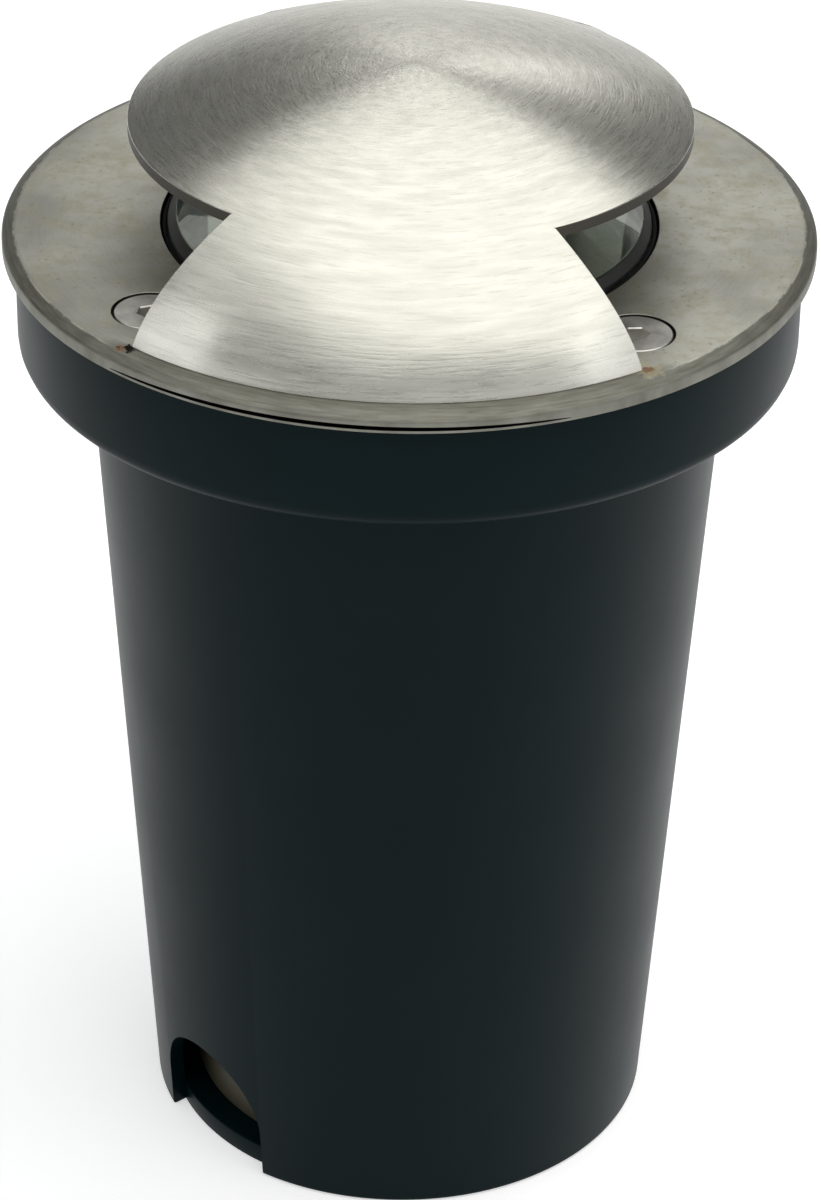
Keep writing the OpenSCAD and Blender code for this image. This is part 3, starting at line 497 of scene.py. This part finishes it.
# %% [markdown]
# ## Node helpers
# A material is a tree of nodes, and a script that places each by hand is hard to read. These helpers name
# what they do: `feed` links or sets one input, `add` places a node with its values, and `make_group` starts
# a shader node group with named sockets. Groups only give out colours, masks and values. The shader itself
# and the constants on its sockets stay in each material.

# %% Helpers for node trees
def feed(tree, value, socket):
    """Link a socket to an input, or set a plain value on it."""
    if isinstance(value, bpy.types.NodeSocket):
        tree.links.new(value, socket)
    else:
        socket.default_value = value


def add(tree, kind, **values):
    """Place a node; a value is set on the node itself where it has that setting, else on the input of that
    name."""
    node = tree.nodes.new("ShaderNode" + kind)
    for name, value in values.items():
        if hasattr(node, name):
            setattr(node, name, value)
        else:
            feed(tree, value, node.inputs[name.replace("_", " ")])
    return node


def math_node(tree, operation, *values):
    """A Math node whose inputs are numbers or sockets."""
    node = add(tree, "Math", operation=operation)
    for socket, value in zip(node.inputs, values):
        feed(tree, value, socket)
    return node.outputs[0]


def times(tree, first, second):
    """Two values multiplied."""
    return math_node(tree, "MULTIPLY", first, second)


def larger(tree, first, second):
    """The larger of two values."""
    return math_node(tree, "MAXIMUM", first, second)


def distance_from(tree, value, middle):
    """How far a value is from a middle: |value - middle|."""
    return math_node(tree, "ABSOLUTE", math_node(tree, "SUBTRACT", value, middle))


def vector_node(tree, operation, *values):
    """A Vector Math node whose inputs are vectors or sockets; a length comes out as a number."""
    node = add(tree, "VectorMath", operation=operation)
    for socket, value in zip(node.inputs, values):
        feed(tree, value, socket)
    return node.outputs["Value" if operation == "LENGTH" else "Vector"]


def mix_colour(tree, factor, first, second):
    """Mix two colours by a factor; each may be a socket."""
    node = add(tree, "Mix", data_type="RGBA")
    feed(tree, factor, node.inputs[0])
    for socket, colour in zip(node.inputs[6:8], (first, second)):
        feed(tree, (*colour, 1) if isinstance(colour, tuple) else colour, socket)
    return node.outputs[2]


def map_range(tree, value, low, high, new_low=0.0, new_high=1.0, smooth=False):
    """Carry a value from one range to another, clamped."""
    node = add(tree, "MapRange", interpolation_type="SMOOTHSTEP" if smooth else "LINEAR")
    for socket, number in zip(node.inputs, (value, low, high, new_low, new_high)):
        feed(tree, number, socket)
    return node.outputs[0]


def noise(tree, place, scale, detail, roughness):
    """The plain value of a noise texture, about 0.5 on average."""
    node = add(tree, "TexNoise", Vector=place, Scale=scale, Detail=detail, Roughness=roughness)
    return node.outputs["Fac"]


def plan_radius(tree, place):
    """Distance from the z axis."""
    return vector_node(tree, "LENGTH", vector_node(tree, "MULTIPLY", place, (1, 1, 0)))


# %% Helpers for groups and materials
def make_group(name, inputs, outputs):
    """Start a shader node group: inputs are (name, kind, default), outputs are names of numbers."""
    tree = bpy.data.node_groups.new(name, "ShaderNodeTree")
    for label, kind, default in inputs:
        socket = tree.interface.new_socket(name=label, in_out="INPUT", socket_type="NodeSocket" + kind)
        socket.default_value = default
    for label in outputs:
        tree.interface.new_socket(name=label, in_out="OUTPUT", socket_type="NodeSocketFloat")
    return tree, tree.nodes.new("NodeGroupInput").outputs, tree.nodes.new("NodeGroupOutput").inputs


def use_group(tree, group, **values):
    """Place a group in a material, set its inputs by name, and give its outputs."""
    return add(tree, "Group", node_tree=group, **values).outputs


def start_material(name, **constants):
    """A material with one Principled shader; constants go straight to its own sockets."""
    material = bpy.data.materials.new(name)
    material.use_nodes = True
    tree = material.node_tree
    shader = tree.nodes["Principled BSDF"]
    for label, value in constants.items():
        shader.inputs[label.replace("_", " ")].default_value = value
    place = add(tree, "TexCoord").outputs["Object"]
    return material, tree, shader.inputs, place


def finish_surface(tree, socket, colour, roughness, height, strength, depth):
    """Feed what changes over a surface: its colour, its roughness, and a height that bumps it by a
    depth."""
    feed(tree, colour, socket["Base Color"])
    feed(tree, roughness, socket["Roughness"])
    bump = add(tree, "Bump", Strength=strength, Distance=depth, Height=height)
    feed(tree, bump.outputs["Normal"], socket["Normal"])


def fan_reflections(tree, socket, place):
    """Run the shading tangent straight away from the z axis, so that reflections fan out across round
    strokes."""
    arm = vector_node(tree, "MULTIPLY", place, (1, 1, 0))
    feed(tree, vector_node(tree, "NORMALIZE", arm), socket["Tangent"])


# %% [markdown]
# ## Shared effects
# Four effects are used more than once, so each is a group. Brushed strokes follow circles round the axis:
# noise is read at (a cos, a sin, distance / width), so it is long along the circle and fine across it, and
# it has no seam. Handling marks are soft patches of two sizes. Surface grain is fine noise for a bump with
# slower noise for the gloss. A stain is a spot whose edge noise makes ragged. A painted image could hold
# all four, but it would blur up close, and it would need the pieces unwrapped.

# %% Build the groups
place_input = ("Place", "Vector", (0, 0, 0))
centre_input = ("Centre", "Vector", (0, 0, 0))


def make_stroke_group():
    """Strokes round the z axis: noise at (strokes round x cos, strokes round x sin, distance from the
    centre / stroke width)."""
    tree, given, out = make_group(
        "brushed strokes",
        [place_input, centre_input, ("Strokes round", "Float", 10.0), ("Stroke width", "Float", 0.2 * mm)],
        ["Fine", "Broad"])
    arm = vector_node(tree, "SUBTRACT", given["Place"], given["Centre"])
    way = vector_node(tree, "NORMALIZE", vector_node(tree, "MULTIPLY", arm, (1, 1, 0)))
    across = math_node(tree, "DIVIDE", vector_node(tree, "LENGTH", arm), given["Stroke width"])
    ring = add(tree, "VectorMath", operation="SCALE", Vector=way, Scale=given["Strokes round"]).outputs[0]
    fine_place = vector_node(tree, "ADD", ring, add(tree, "CombineXYZ", Z=across).outputs[0])
    broad_place = vector_node(tree, "MULTIPLY", fine_place, (0.6, 0.6, 0.22))
    feed(tree, noise(tree, fine_place, 1.0, 3.0, 0.6), out["Fine"])
    feed(tree, noise(tree, broad_place, 1.0, 2.0, 0.5), out["Broad"])
    return tree


def make_patch_group():
    """Soft patches of two sizes, for handling marks and uneven polish: noise at place / size, and 5.3 times
    finer."""
    tree, given, out = make_group(
        "handling marks", [place_input, ("Size", "Float", 20 * mm)], ["Large", "Small"])
    scale = math_node(tree, "DIVIDE", 1.0, given["Size"])
    feed(tree, noise(tree, given["Place"], scale, 3.0, 0.55), out["Large"])
    feed(tree, noise(tree, given["Place"], times(tree, scale, 5.3), 4.0, 0.6), out["Small"])
    return tree


def make_grain_group():
    """Fine grain of a cast or moulded surface: noise at place / size for the height, and 50 times wider for
    the gloss."""
    tree, given, out = make_group(
        "surface grain", [place_input, ("Size", "Float", 0.4 * mm)], ["Height", "Gloss"])
    scale = math_node(tree, "DIVIDE", 1.0, given["Size"])
    feed(tree, noise(tree, given["Place"], scale, 3.0, 0.65), out["Height"])
    feed(tree, noise(tree, given["Place"], times(tree, scale, 0.02), 3.0, 0.55), out["Gloss"])
    return tree


def make_stain_group():
    """A ragged spot: 1 at its centre, 0 past its size, where noise moves the distance in and out by the
    raggedness."""
    tree, given, out = make_group(
        "stain", [place_input, centre_input, ("Size", "Float", 1 * mm), ("Ragged", "Float", 0.5)], ["Mask"])
    arm = vector_node(tree, "SUBTRACT", given["Place"], given["Centre"])
    reach = math_node(tree, "DIVIDE", vector_node(tree, "LENGTH", arm), given["Size"])
    waver = noise(tree, given["Place"], math_node(tree, "DIVIDE", 1.6, given["Size"]), 4.0, 0.65)
    push = times(tree, math_node(tree, "SUBTRACT", waver, 0.5), given["Ragged"])
    reach = math_node(tree, "ADD", reach, push)
    feed(tree, map_range(tree, reach, 0.45, 1.0, 1.0, 0.0, smooth=True), out["Mask"])
    return tree


stroke_group = make_stroke_group()
patch_group = make_patch_group()
grain_group = make_grain_group()
stain_group = make_stain_group()
print(len(bpy.data.node_groups), "node groups")

# %% [markdown]
# ## The dome's steel
# The real dome was brushed while it turned, so its strokes are circles round the apex, and its reflections
# spread across them like a fan. The same strokes feed the colour, the gloss and the relief, so the three
# agree, and the shader's anisotropy stretches the reflections. The edge that was cut over each window is
# dull, and its dark colour is painted shade.

# %% Brushed steel of the dome
edge_skin = 0.1 * mm
light_steel, mid_steel, line_steel = (0.78, 0.775, 0.715), (0.64, 0.64, 0.587), (0.40, 0.395, 0.36)
handled_steel, cut_edge_shade_grey = (0.52, 0.50, 0.45), (0.075, 0.07, 0.06)


def window_edge(tree, place):
    """1 on the cut edge over a window: the plan radius is that of the cap's rim, the place is below the
    outer skin, and |x| is past the neck of a leg."""
    parts = add(tree, "SeparateXYZ", Vector=place).outputs
    off_rim = distance_from(tree, plan_radius(tree, place), cap_rim_r)
    low = map_range(tree, parts["Z"], cap_rim_z - edge_skin, cap_rim_z - 0.4 * edge_skin, 1.0, 0.0)
    aside = math_node(tree, "DIVIDE", math_node(tree, "ABSOLUTE", parts["X"]), neck_point[0])
    on_edge = times(tree, math_node(tree, "LESS_THAN", off_rim, 2 * edge_skin), low)
    return times(tree, on_edge, math_node(tree, "GREATER_THAN", aside, 0.99))


def make_dome_steel():
    """Creamy brushed steel: two tones and dark lines from the strokes, faint handling marks, and a dull
    edge whose dark colour is painted shade."""
    material, tree, socket, place = start_material("brushed dome steel", Metallic=1.0, Anisotropic=0.78)
    strokes = use_group(tree, stroke_group, Place=place, Centre=(0, 0, dome_top), Strokes_round=9.0,
                        Stroke_width=0.27 * mm)
    marks = use_group(tree, patch_group, Place=place, Size=30 * mm)
    tone = mix_colour(tree, map_range(tree, strokes["Broad"], 0.3, 0.7), mid_steel, light_steel)
    lined = mix_colour(tree, map_range(tree, strokes["Fine"], 0.30, 0.45, 0.38, 0.0), tone, line_steel)
    handled = mix_colour(tree, map_range(tree, marks["Large"], 0.35, 0.7, 0.0, 0.12), lined, handled_steel)
    cut_edge = window_edge(tree, place)
    # The cut edge's near-black colour is painted shade; its higher roughness is the dull cut.
    colour = mix_colour(tree, cut_edge, handled, cut_edge_shade_grey)
    gloss = math_node(tree, "MULTIPLY_ADD", strokes["Fine"], 0.12, 0.22)
    roughness = larger(tree, gloss, times(tree, cut_edge, 0.5))
    relief = math_node(tree, "MULTIPLY_ADD", strokes["Broad"], 0.9, strokes["Fine"])
    finish_surface(tree, socket, colour, roughness, relief, 0.55, 0.06 * mm)
    fan_reflections(tree, socket, place)
    return material


# %% [markdown]
# ## The plate's steel
# The plate has lain in the ground: its face is olive grey with clouds and pits, and there is rust at the two
# front feet. Its bevel and a strip in front of each foot are dull and painted darker as shade, a painted
# highlight runs along the bevel's inner edge, and its recesses are painted near black as shade. Each of
# these is a mask worked out from the place, and the masks are laid over each other from the face up.

# %% Masks of the plate
bevel_r = plate_r - plate_bevel[0]
skin = 0.04 * mm
strip_from_y, strip_full_y = 37 * mm, 41 * mm
groove_middle = plate_z + groove_lip_h + groove_h / 2
left_foot = tuple(at_azimuth(dome_foot_r + 0.35 * mm, -foot_azimuth, plate_top))
left_rust = tuple(at_azimuth(dome_foot_r + 1.2 * mm, -foot_azimuth - math.radians(0.9),
                             plate_top - 0.1 * mm))
right_foot = tuple(at_azimuth(dome_foot_r + 0.1 * mm, foot_azimuth + math.radians(0.7), plate_top))


def rim_masks(tree, parts, radius):
    """Two masks where the rim is dull and painted darker as shade: the bevel, and a strip in front of each
    foot that fades out as |y| gets smaller.
    """
    bevel = map_range(tree, radius, bevel_r - 0.15 * mm, bevel_r)
    strip = map_range(tree, radius, dome_foot_r - 0.3 * mm, dome_foot_r)
    off_centre = math_node(tree, "ABSOLUTE", parts["Y"])
    return bevel, times(tree, strip, map_range(tree, off_centre, strip_from_y, strip_full_y, smooth=True))


def bevel_highlight_line(tree, marks, radius, strip):
    """A broken painted highlight along the bevel's inner edge, left out at the strips."""
    near = map_range(tree, distance_from(tree, radius, bevel_r), 0.04 * mm, 0.20 * mm, 0.6, 0.0)
    broken = times(tree, near, map_range(tree, marks["Small"], 0.44, 0.58))
    return times(tree, broken, math_node(tree, "SUBTRACT", 1.0, strip))


def recess_shade_mask(tree, radius, height):
    """Where shade is painted in: 1 below the face inside the bevel, so in the countersinks and the bore, and
    in the groove in the rim."""
    sunk = times(tree, math_node(tree, "LESS_THAN", height, plate_top - skin),
                 math_node(tree, "LESS_THAN", radius, plate_r - 1.5 * plate_bevel[0]))
    level = math_node(tree, "LESS_THAN", distance_from(tree, height, groove_middle), groove_h / 2 + skin)
    return larger(tree, sunk, times(tree, level, math_node(tree, "LESS_THAN", radius, plate_r - skin)))


# %% Dull steel of the plate
dull_steel, pale_steel, olive_steel = (0.37, 0.37, 0.34), (0.56, 0.56, 0.505), (0.42, 0.40, 0.28)
stroke_steel, pit_steel, highlight_steel = (0.64, 0.63, 0.58), (0.22, 0.22, 0.19), (0.76, 0.75, 0.69)
rim_shade_dark, rim_shade_light = (0.12, 0.12, 0.10), (0.23, 0.23, 0.20)
stain_tan, rust_brown = (0.60, 0.54, 0.38), (0.33, 0.22, 0.14)
crack_black, recess_shade_black = (0.02, 0.02, 0.018), (0.012, 0.013, 0.012)


def plate_face(tree, marks, small, strokes):
    """Clouds of two greys, olive patches, faint strokes and dark pits."""
    cloud = map_range(tree, marks["Large"], 0.32, 0.68, smooth=True)
    tone = mix_colour(tree, cloud, dull_steel, pale_steel)
    olive = mix_colour(tree, map_range(tree, marks["Small"], 0.45, 0.72, 0.0, 0.7), tone, olive_steel)
    lined = mix_colour(tree, map_range(tree, strokes["Fine"], 0.35, 0.75, 0.0, 0.2), olive, stroke_steel)
    return mix_colour(tree, map_range(tree, small["Small"], 0.62, 0.72, 0.0, 0.55), lined, pit_steel)


def lay_stains(tree, place, steel):
    """A pale stain and rust at the right foot, rust and a crack at the left: their colour over the steel,
    and one mask of them all."""
    spots = [(right_foot, 2.2 * mm, 1.8), (right_foot, 1.0 * mm, 1.6), (left_rust, 1.0 * mm, 1.6),
             (left_foot, 1.3 * mm, 3.2)]
    pale, brown, left, crack = (
        use_group(tree, stain_group, Place=place, Centre=centre, Size=size, Ragged=ragged)["Mask"]
        for centre, size, ragged in spots)
    rust = larger(tree, brown, left)
    stained = mix_colour(tree, times(tree, pale, 0.6), steel, stain_tan)
    rusted = mix_colour(tree, rust, stained, rust_brown)
    return mix_colour(tree, crack, rusted, crack_black), larger(tree, rust, larger(tree, crack, pale))


def make_plate_steel():
    """The face, then the dull rim painted darker as shade, the painted highlight line, the stains and the
    painted recess shade laid over it.
    """
    material, tree, socket, place = start_material("mottled plate steel", Metallic=1.0, Anisotropic=0.3)
    marks = use_group(tree, patch_group, Place=place, Size=16 * mm)
    small = use_group(tree, patch_group, Place=place, Size=4 * mm)
    strokes = use_group(tree, stroke_group, Place=place, Centre=(0, 0, plate_top), Strokes_round=12.0,
                        Stroke_width=0.35 * mm)
    parts = add(tree, "SeparateXYZ", Vector=place).outputs
    radius = plan_radius(tree, place)
    bevel, strip = rim_masks(tree, parts, radius)
    rim = larger(tree, bevel, strip)
    # The bevel and the strips in front of the feet are painted darker, as shade.
    rim_shade_tone = mix_colour(tree, map_range(tree, strokes["Fine"], 0.3, 0.7), rim_shade_dark, rim_shade_light)
    rim_shaded = mix_colour(tree, times(tree, rim, 0.85), plate_face(tree, marks, small, strokes), rim_shade_tone)
    # The broken bright line along the bevel's inner edge is a painted highlight.
    edged = mix_colour(tree, bevel_highlight_line(tree, marks, radius, strip), rim_shaded, highlight_steel)
    stained, spots = lay_stains(tree, place, edged)
    # The countersinks, the bore and the groove are painted near black, as shade.
    colour = mix_colour(tree, recess_shade_mask(tree, radius, parts["Z"]), stained, recess_shade_black)
    gloss = math_node(tree, "MULTIPLY_ADD", marks["Small"], 0.22, 0.38)
    dull = larger(tree, times(tree, spots, 0.8), times(tree, rim, 0.55))
    relief = math_node(tree, "MULTIPLY_ADD", small["Small"], 0.8, strokes["Fine"])
    finish_surface(tree, socket, colour, larger(tree, gloss, dull), relief, 0.35, 0.03 * mm)
    fan_reflections(tree, socket, place)
    return material


# %% [markdown]
# ## Other metals, plastics and rubber
# Cast, plated and moulded pieces differ mostly in colour and gloss. So one function makes every other
# metal, with slow patches of a second tone, and one makes every plastic and rubber, with the fine grain of
# a mould. Neither is perfectly even, because real pieces never are.

# %% Metals, plastics and rubber
def make_metal(name, colour, dark, roughness, patch_size=10 * mm, bump_depth=0.01 * mm):
    """A plain metal with slow colour patches, uneven gloss and a fine bump."""
    material, tree, socket, place = start_material(name, Metallic=1.0)
    marks = use_group(tree, patch_group, Place=place, Size=patch_size)
    grain = use_group(tree, grain_group, Place=place, Size=0.3 * mm)
    patches = mix_colour(tree, map_range(tree, marks["Large"], 0.35, 0.65), colour, dark)
    gloss = math_node(tree, "MULTIPLY_ADD", marks["Small"], 0.15, roughness - 0.07)
    finish_surface(tree, socket, patches, gloss, grain["Height"], 0.3, bump_depth)
    return material


def make_plastic(name, colour, light, roughness, **constants):
    """A moulded plastic or rubber: fine grain in the bump, slow patches in gloss and colour."""
    material, tree, socket, place = start_material(name, **constants)
    grain = use_group(tree, grain_group, Place=place, Size=0.4 * mm)
    marks = use_group(tree, patch_group, Place=place, Size=25 * mm)
    patches = mix_colour(tree, map_range(tree, marks["Large"], 0.35, 0.75), colour, light)
    gloss = math_node(tree, "MULTIPLY_ADD", grain["Gloss"], 0.12, roughness - 0.06)
    finish_surface(tree, socket, patches, gloss, grain["Height"], 0.25, 0.015 * mm)
    return material


# %% [markdown]
# ## The glass
# The real glass is polished on its face, and its bevel is ground, so light enters there and scatters. Both
# are the same shader. A mask of the plan radius makes the ring rough and darker, and the face keeps only
# faint smears.

# %% Glass
clear_glass, smeared_glass, ground_glass = (0.93, 0.97, 0.95), (0.88, 0.94, 0.91), (0.19, 0.235, 0.21)


def make_glass():
    """Clear glass with faint smears, and a frosted grey-green ring from its ground bevel outwards."""
    material, tree, socket, place = start_material(
        "clear lens glass", Metallic=0.0, Transmission_Weight=1.0, IOR=1.5)
    marks = use_group(tree, patch_group, Place=place, Size=15 * mm)
    face = mix_colour(tree, marks["Large"], clear_glass, smeared_glass)
    ring_r = glass_r - glass_bevel
    ring = map_range(tree, plan_radius(tree, place), ring_r - 0.1 * mm, ring_r)
    feed(tree, mix_colour(tree, ring, face, ground_glass), socket["Base Color"])
    smear = map_range(tree, marks["Large"], 0.4, 0.8, 0.0, 0.04)
    feed(tree, larger(tree, smear, times(tree, ring, 0.45)), socket["Roughness"])
    return material


# %% [markdown]
# ## Dress every node
# The record names a material slot for each CAD node. One table goes from slot to finish, and the new pieces
# take the finish of their slot as well.

# %% Give each slot its finish
finishes = {
    "sleeve_plastic": make_plastic("satin black sleeve plastic", (0.0010, 0.0080, 0.0096),
                                   (0.0020, 0.0100, 0.0118), 0.38, Specular_IOR_Level=0.07),
    "plate_steel": make_plate_steel(),
    "dome_steel": make_dome_steel(),
    "screw_steel": make_metal("worn screw steel", (0.74, 0.73, 0.70), (0.50, 0.49, 0.46), 0.42,
                              patch_size=3 * mm, bump_depth=0.03 * mm),
    "seal_rubber": make_plastic("black seal rubber", (0.003, 0.003, 0.003), (0.005, 0.005, 0.005), 0.75,
                                Specular_IOR_Level=0.2),
    "lens_glass": make_glass(),
    "cast_alloy": make_metal("cast alloy", (0.51, 0.52, 0.53), (0.45, 0.46, 0.47), 0.5,
                             bump_depth=0.05 * mm),
    "reflector_metal": make_metal("bright reflector metal", (0.86, 0.87, 0.86), (0.78, 0.80, 0.79), 0.14),
    "chip_phosphor": make_plastic("yellow phosphor", (0.78, 0.62, 0.12), (0.85, 0.70, 0.2), 0.5),
    "board_white": make_plastic("white board", (0.78, 0.78, 0.76), (0.70, 0.70, 0.68), 0.4),
    "pad_blue": make_plastic("thermal pad", (0.34, 0.44, 0.54), (0.38, 0.48, 0.58), 0.7),
    "holder_white": make_plastic("white holder plastic", (0.80, 0.80, 0.77), (0.74, 0.74, 0.71), 0.42),
    "small_steel": make_metal("zinc plated steel", (0.60, 0.60, 0.58), (0.48, 0.48, 0.46), 0.34),
    "lead_red": make_plastic("red insulation", (0.45, 0.03, 0.02), (0.52, 0.05, 0.03), 0.45),
    "lead_black": make_plastic("black insulation", (0.015, 0.015, 0.015), (0.025, 0.025, 0.025), 0.45),
    "driver_plastic": make_plastic("driver case plastic", (0.030, 0.045, 0.070), (0.040, 0.055, 0.080), 0.5),
    "terminal_plastic": make_plastic("terminal plastic", (0.74, 0.70, 0.58), (0.68, 0.64, 0.52), 0.45),
    "terminal_brass": make_metal("terminal brass", (0.70, 0.50, 0.20), (0.58, 0.40, 0.15), 0.34),
    "cap_plastic": make_plastic("dark brown cap plastic", (0.049, 0.043, 0.025), (0.060, 0.054, 0.034),
                                0.55),
    "gland_nylon": make_plastic("black gland nylon", (0.014, 0.014, 0.015), (0.022, 0.022, 0.023), 0.42),
}
slot_of_node = {part["node"]: part["material_slot"] for part in frame["record"]["subparts"]}


def dress(piece, slot):
    """Put the finish of a slot on a piece as its only material."""
    piece.data.materials.clear()
    piece.data.materials.append(finishes[slot])


for node_name, node_object in frame["nodes"].items():
    dress(node_object, slot_of_node[node_name])
new_pieces = {dome_shell: "dome_steel", plate_disc: "plate_steel", socket_screws: "screw_steel",
              glass_disc: "lens_glass", gasket_ring: "seal_rubber", sleeve_wall: "sleeve_plastic",
              sleeve_floor: "sleeve_plastic"}
for piece, slot in new_pieces.items():
    dress(piece, slot)
print(len(frame["nodes"]), "nodes and", len(new_pieces), "new pieces dressed")

# %% [markdown]
# ## The floor
# The light stands on a plain white floor, and the camera sees nothing else. The floor is a little brighter
# for the camera than the lamps make it, so it reads as white and still keeps a soft shadow.

# %% Floor
floor_r, floor_top, floor_low = 600 * mm, -0.2 * mm, -0.4 * mm
floor_outline = np.array([(0, floor_low), (floor_r, floor_low), (floor_r, floor_top), (0, floor_top)])
floor_disc = make_piece("studio_floor", [turned(floor_outline, sides=96)])
floor_glow = 0.5


def make_floor():
    """Pale matt floor with a little added light for camera, gloss and glass rays."""
    material, tree, socket, place = start_material("white studio floor", Roughness=0.9)
    socket["Base Color"].default_value = (0.8, 0.8, 0.8, 1)
    socket["Emission Color"].default_value = (1, 1, 1, 1)
    rays = add(tree, "LightPath").outputs
    seen = larger(tree, rays["Is Camera Ray"], rays["Is Glossy Ray"])
    seen = larger(tree, seen, rays["Is Transmission Ray"])
    feed(tree, times(tree, seen, floor_glow), socket["Emission Strength"])
    return material


floor_disc.data.materials.append(make_floor())

# %% [markdown]
# ## The world
# Steel shows little but its surroundings. In the photograph the dome carries a bright fan between two dim
# flanks, so the room that it mirrors has a white horizon, a dim band above it and a wide pale panel
# overhead. Lamps could show the same panel, but their hard corners would be seen, and here each edge of it
# fades in its own way.

# %% World
dim_band, pale_panel, plain_fill = (0.13, 0.13, 0.127), (1.46, 1.45, 1.39), (0.50, 0.51, 0.52)
white = (1, 1, 1)
gable_slope, gable_from, gable_to = 1.15, 1.30, 1.72
front_edge, full_front = -2.6, -0.95
left_edge, full_left, left_share = -0.9, -0.1, 0.35


def make_world():
    """For glossy and glass rays: white at the horizon, a dim band above it, and a wide pale panel overhead.
    A ray meets the panel's plane at (x, y) / z. The panel ends in a gable behind, where y + slope x |x|
    reaches its edge, and fades out in front and to the left. Diffuse rays get a plain fill and the camera
    plain white. The rise is the sine of the elevation."""
    world = bpy.data.worlds.new("studio")
    world.use_nodes = True
    tree = world.node_tree
    background = tree.nodes["Background"]
    way = add(tree, "TexCoord").outputs["Generated"]
    across, ahead, rise = add(tree, "SeparateXYZ", Vector=way).outputs
    low_room = mix_colour(tree, map_range(tree, rise, 0.0, 0.12, smooth=True), white, dim_band)
    up = larger(tree, rise, 0.05)
    across, ahead = (math_node(tree, "DIVIDE", part, up) for part in (across, ahead))
    gable = math_node(tree, "MULTIPLY_ADD", math_node(tree, "ABSOLUTE", across), gable_slope, ahead)
    panel = map_range(tree, gable, gable_from, gable_to, 1.0, 0.0, smooth=True)
    panel = times(tree, panel, map_range(tree, ahead, front_edge, full_front, smooth=True))
    panel = times(tree, panel, map_range(tree, across, left_edge, full_left, left_share, 1.0, smooth=True))
    room = mix_colour(tree, panel, low_room, pale_panel)
    rays = add(tree, "LightPath").outputs
    seen = larger(tree, rays["Is Glossy Ray"], rays["Is Transmission Ray"])
    filled = mix_colour(tree, seen, plain_fill, room)
    feed(tree, mix_colour(tree, rays["Is Camera Ray"], filled, white), background.inputs["Color"])
    background.inputs["Strength"].default_value = 1.0
    return world


scene.world = make_world()

# %% [markdown]
# ## The lamps
# One large soft box hangs above and lights the matt surfaces only, because the world already gives its
# reflection. Three smaller boxes behind and at the sides give the rims their narrow lights.

# %% Lamps
def add_soft_box(name, place, target, size, brightness, colour=(1, 1, 1)):
    """A rectangular lamp; its power is brightness x area x pi, so its face has that brightness."""
    data = bpy.data.lights.new(name, "AREA")
    data.shape = "RECTANGLE"
    data.size, data.size_y = size
    data.energy = brightness * size[0] * size[1] * math.pi
    data.color = colour
    lamp = bpy.data.objects.new(name, data)
    lamp.location = place
    lamp.rotation_euler = (Vector(target) - Vector(place)).to_track_quat("-Z", "Y").to_euler()
    scene.collection.objects.link(lamp)
    return lamp


warm_white = (1.0, 0.985, 0.95)
overhead_box = add_soft_box(
    "overhead_box", (0.35, -0.10, 0.95), (0.05, -0.02, 0.15), (1.5, 0.9), 1.4, warm_white)
overhead_box.visible_glossy = False
add_soft_box("rear_box", (0.07, 1.77, 0.87), (0, 0, 0.15), (0.54, 0.44), 1.4, warm_white)
add_soft_box("left_box", (-1.05, -0.45, 0.45), (0, 0, 0.12), (0.5, 0.5), 0.9)
add_soft_box("right_box", (1.05, -0.45, 0.45), (0, 0, 0.12), (0.5, 0.5), 0.8)
print(len(bpy.data.lights), "lamps")
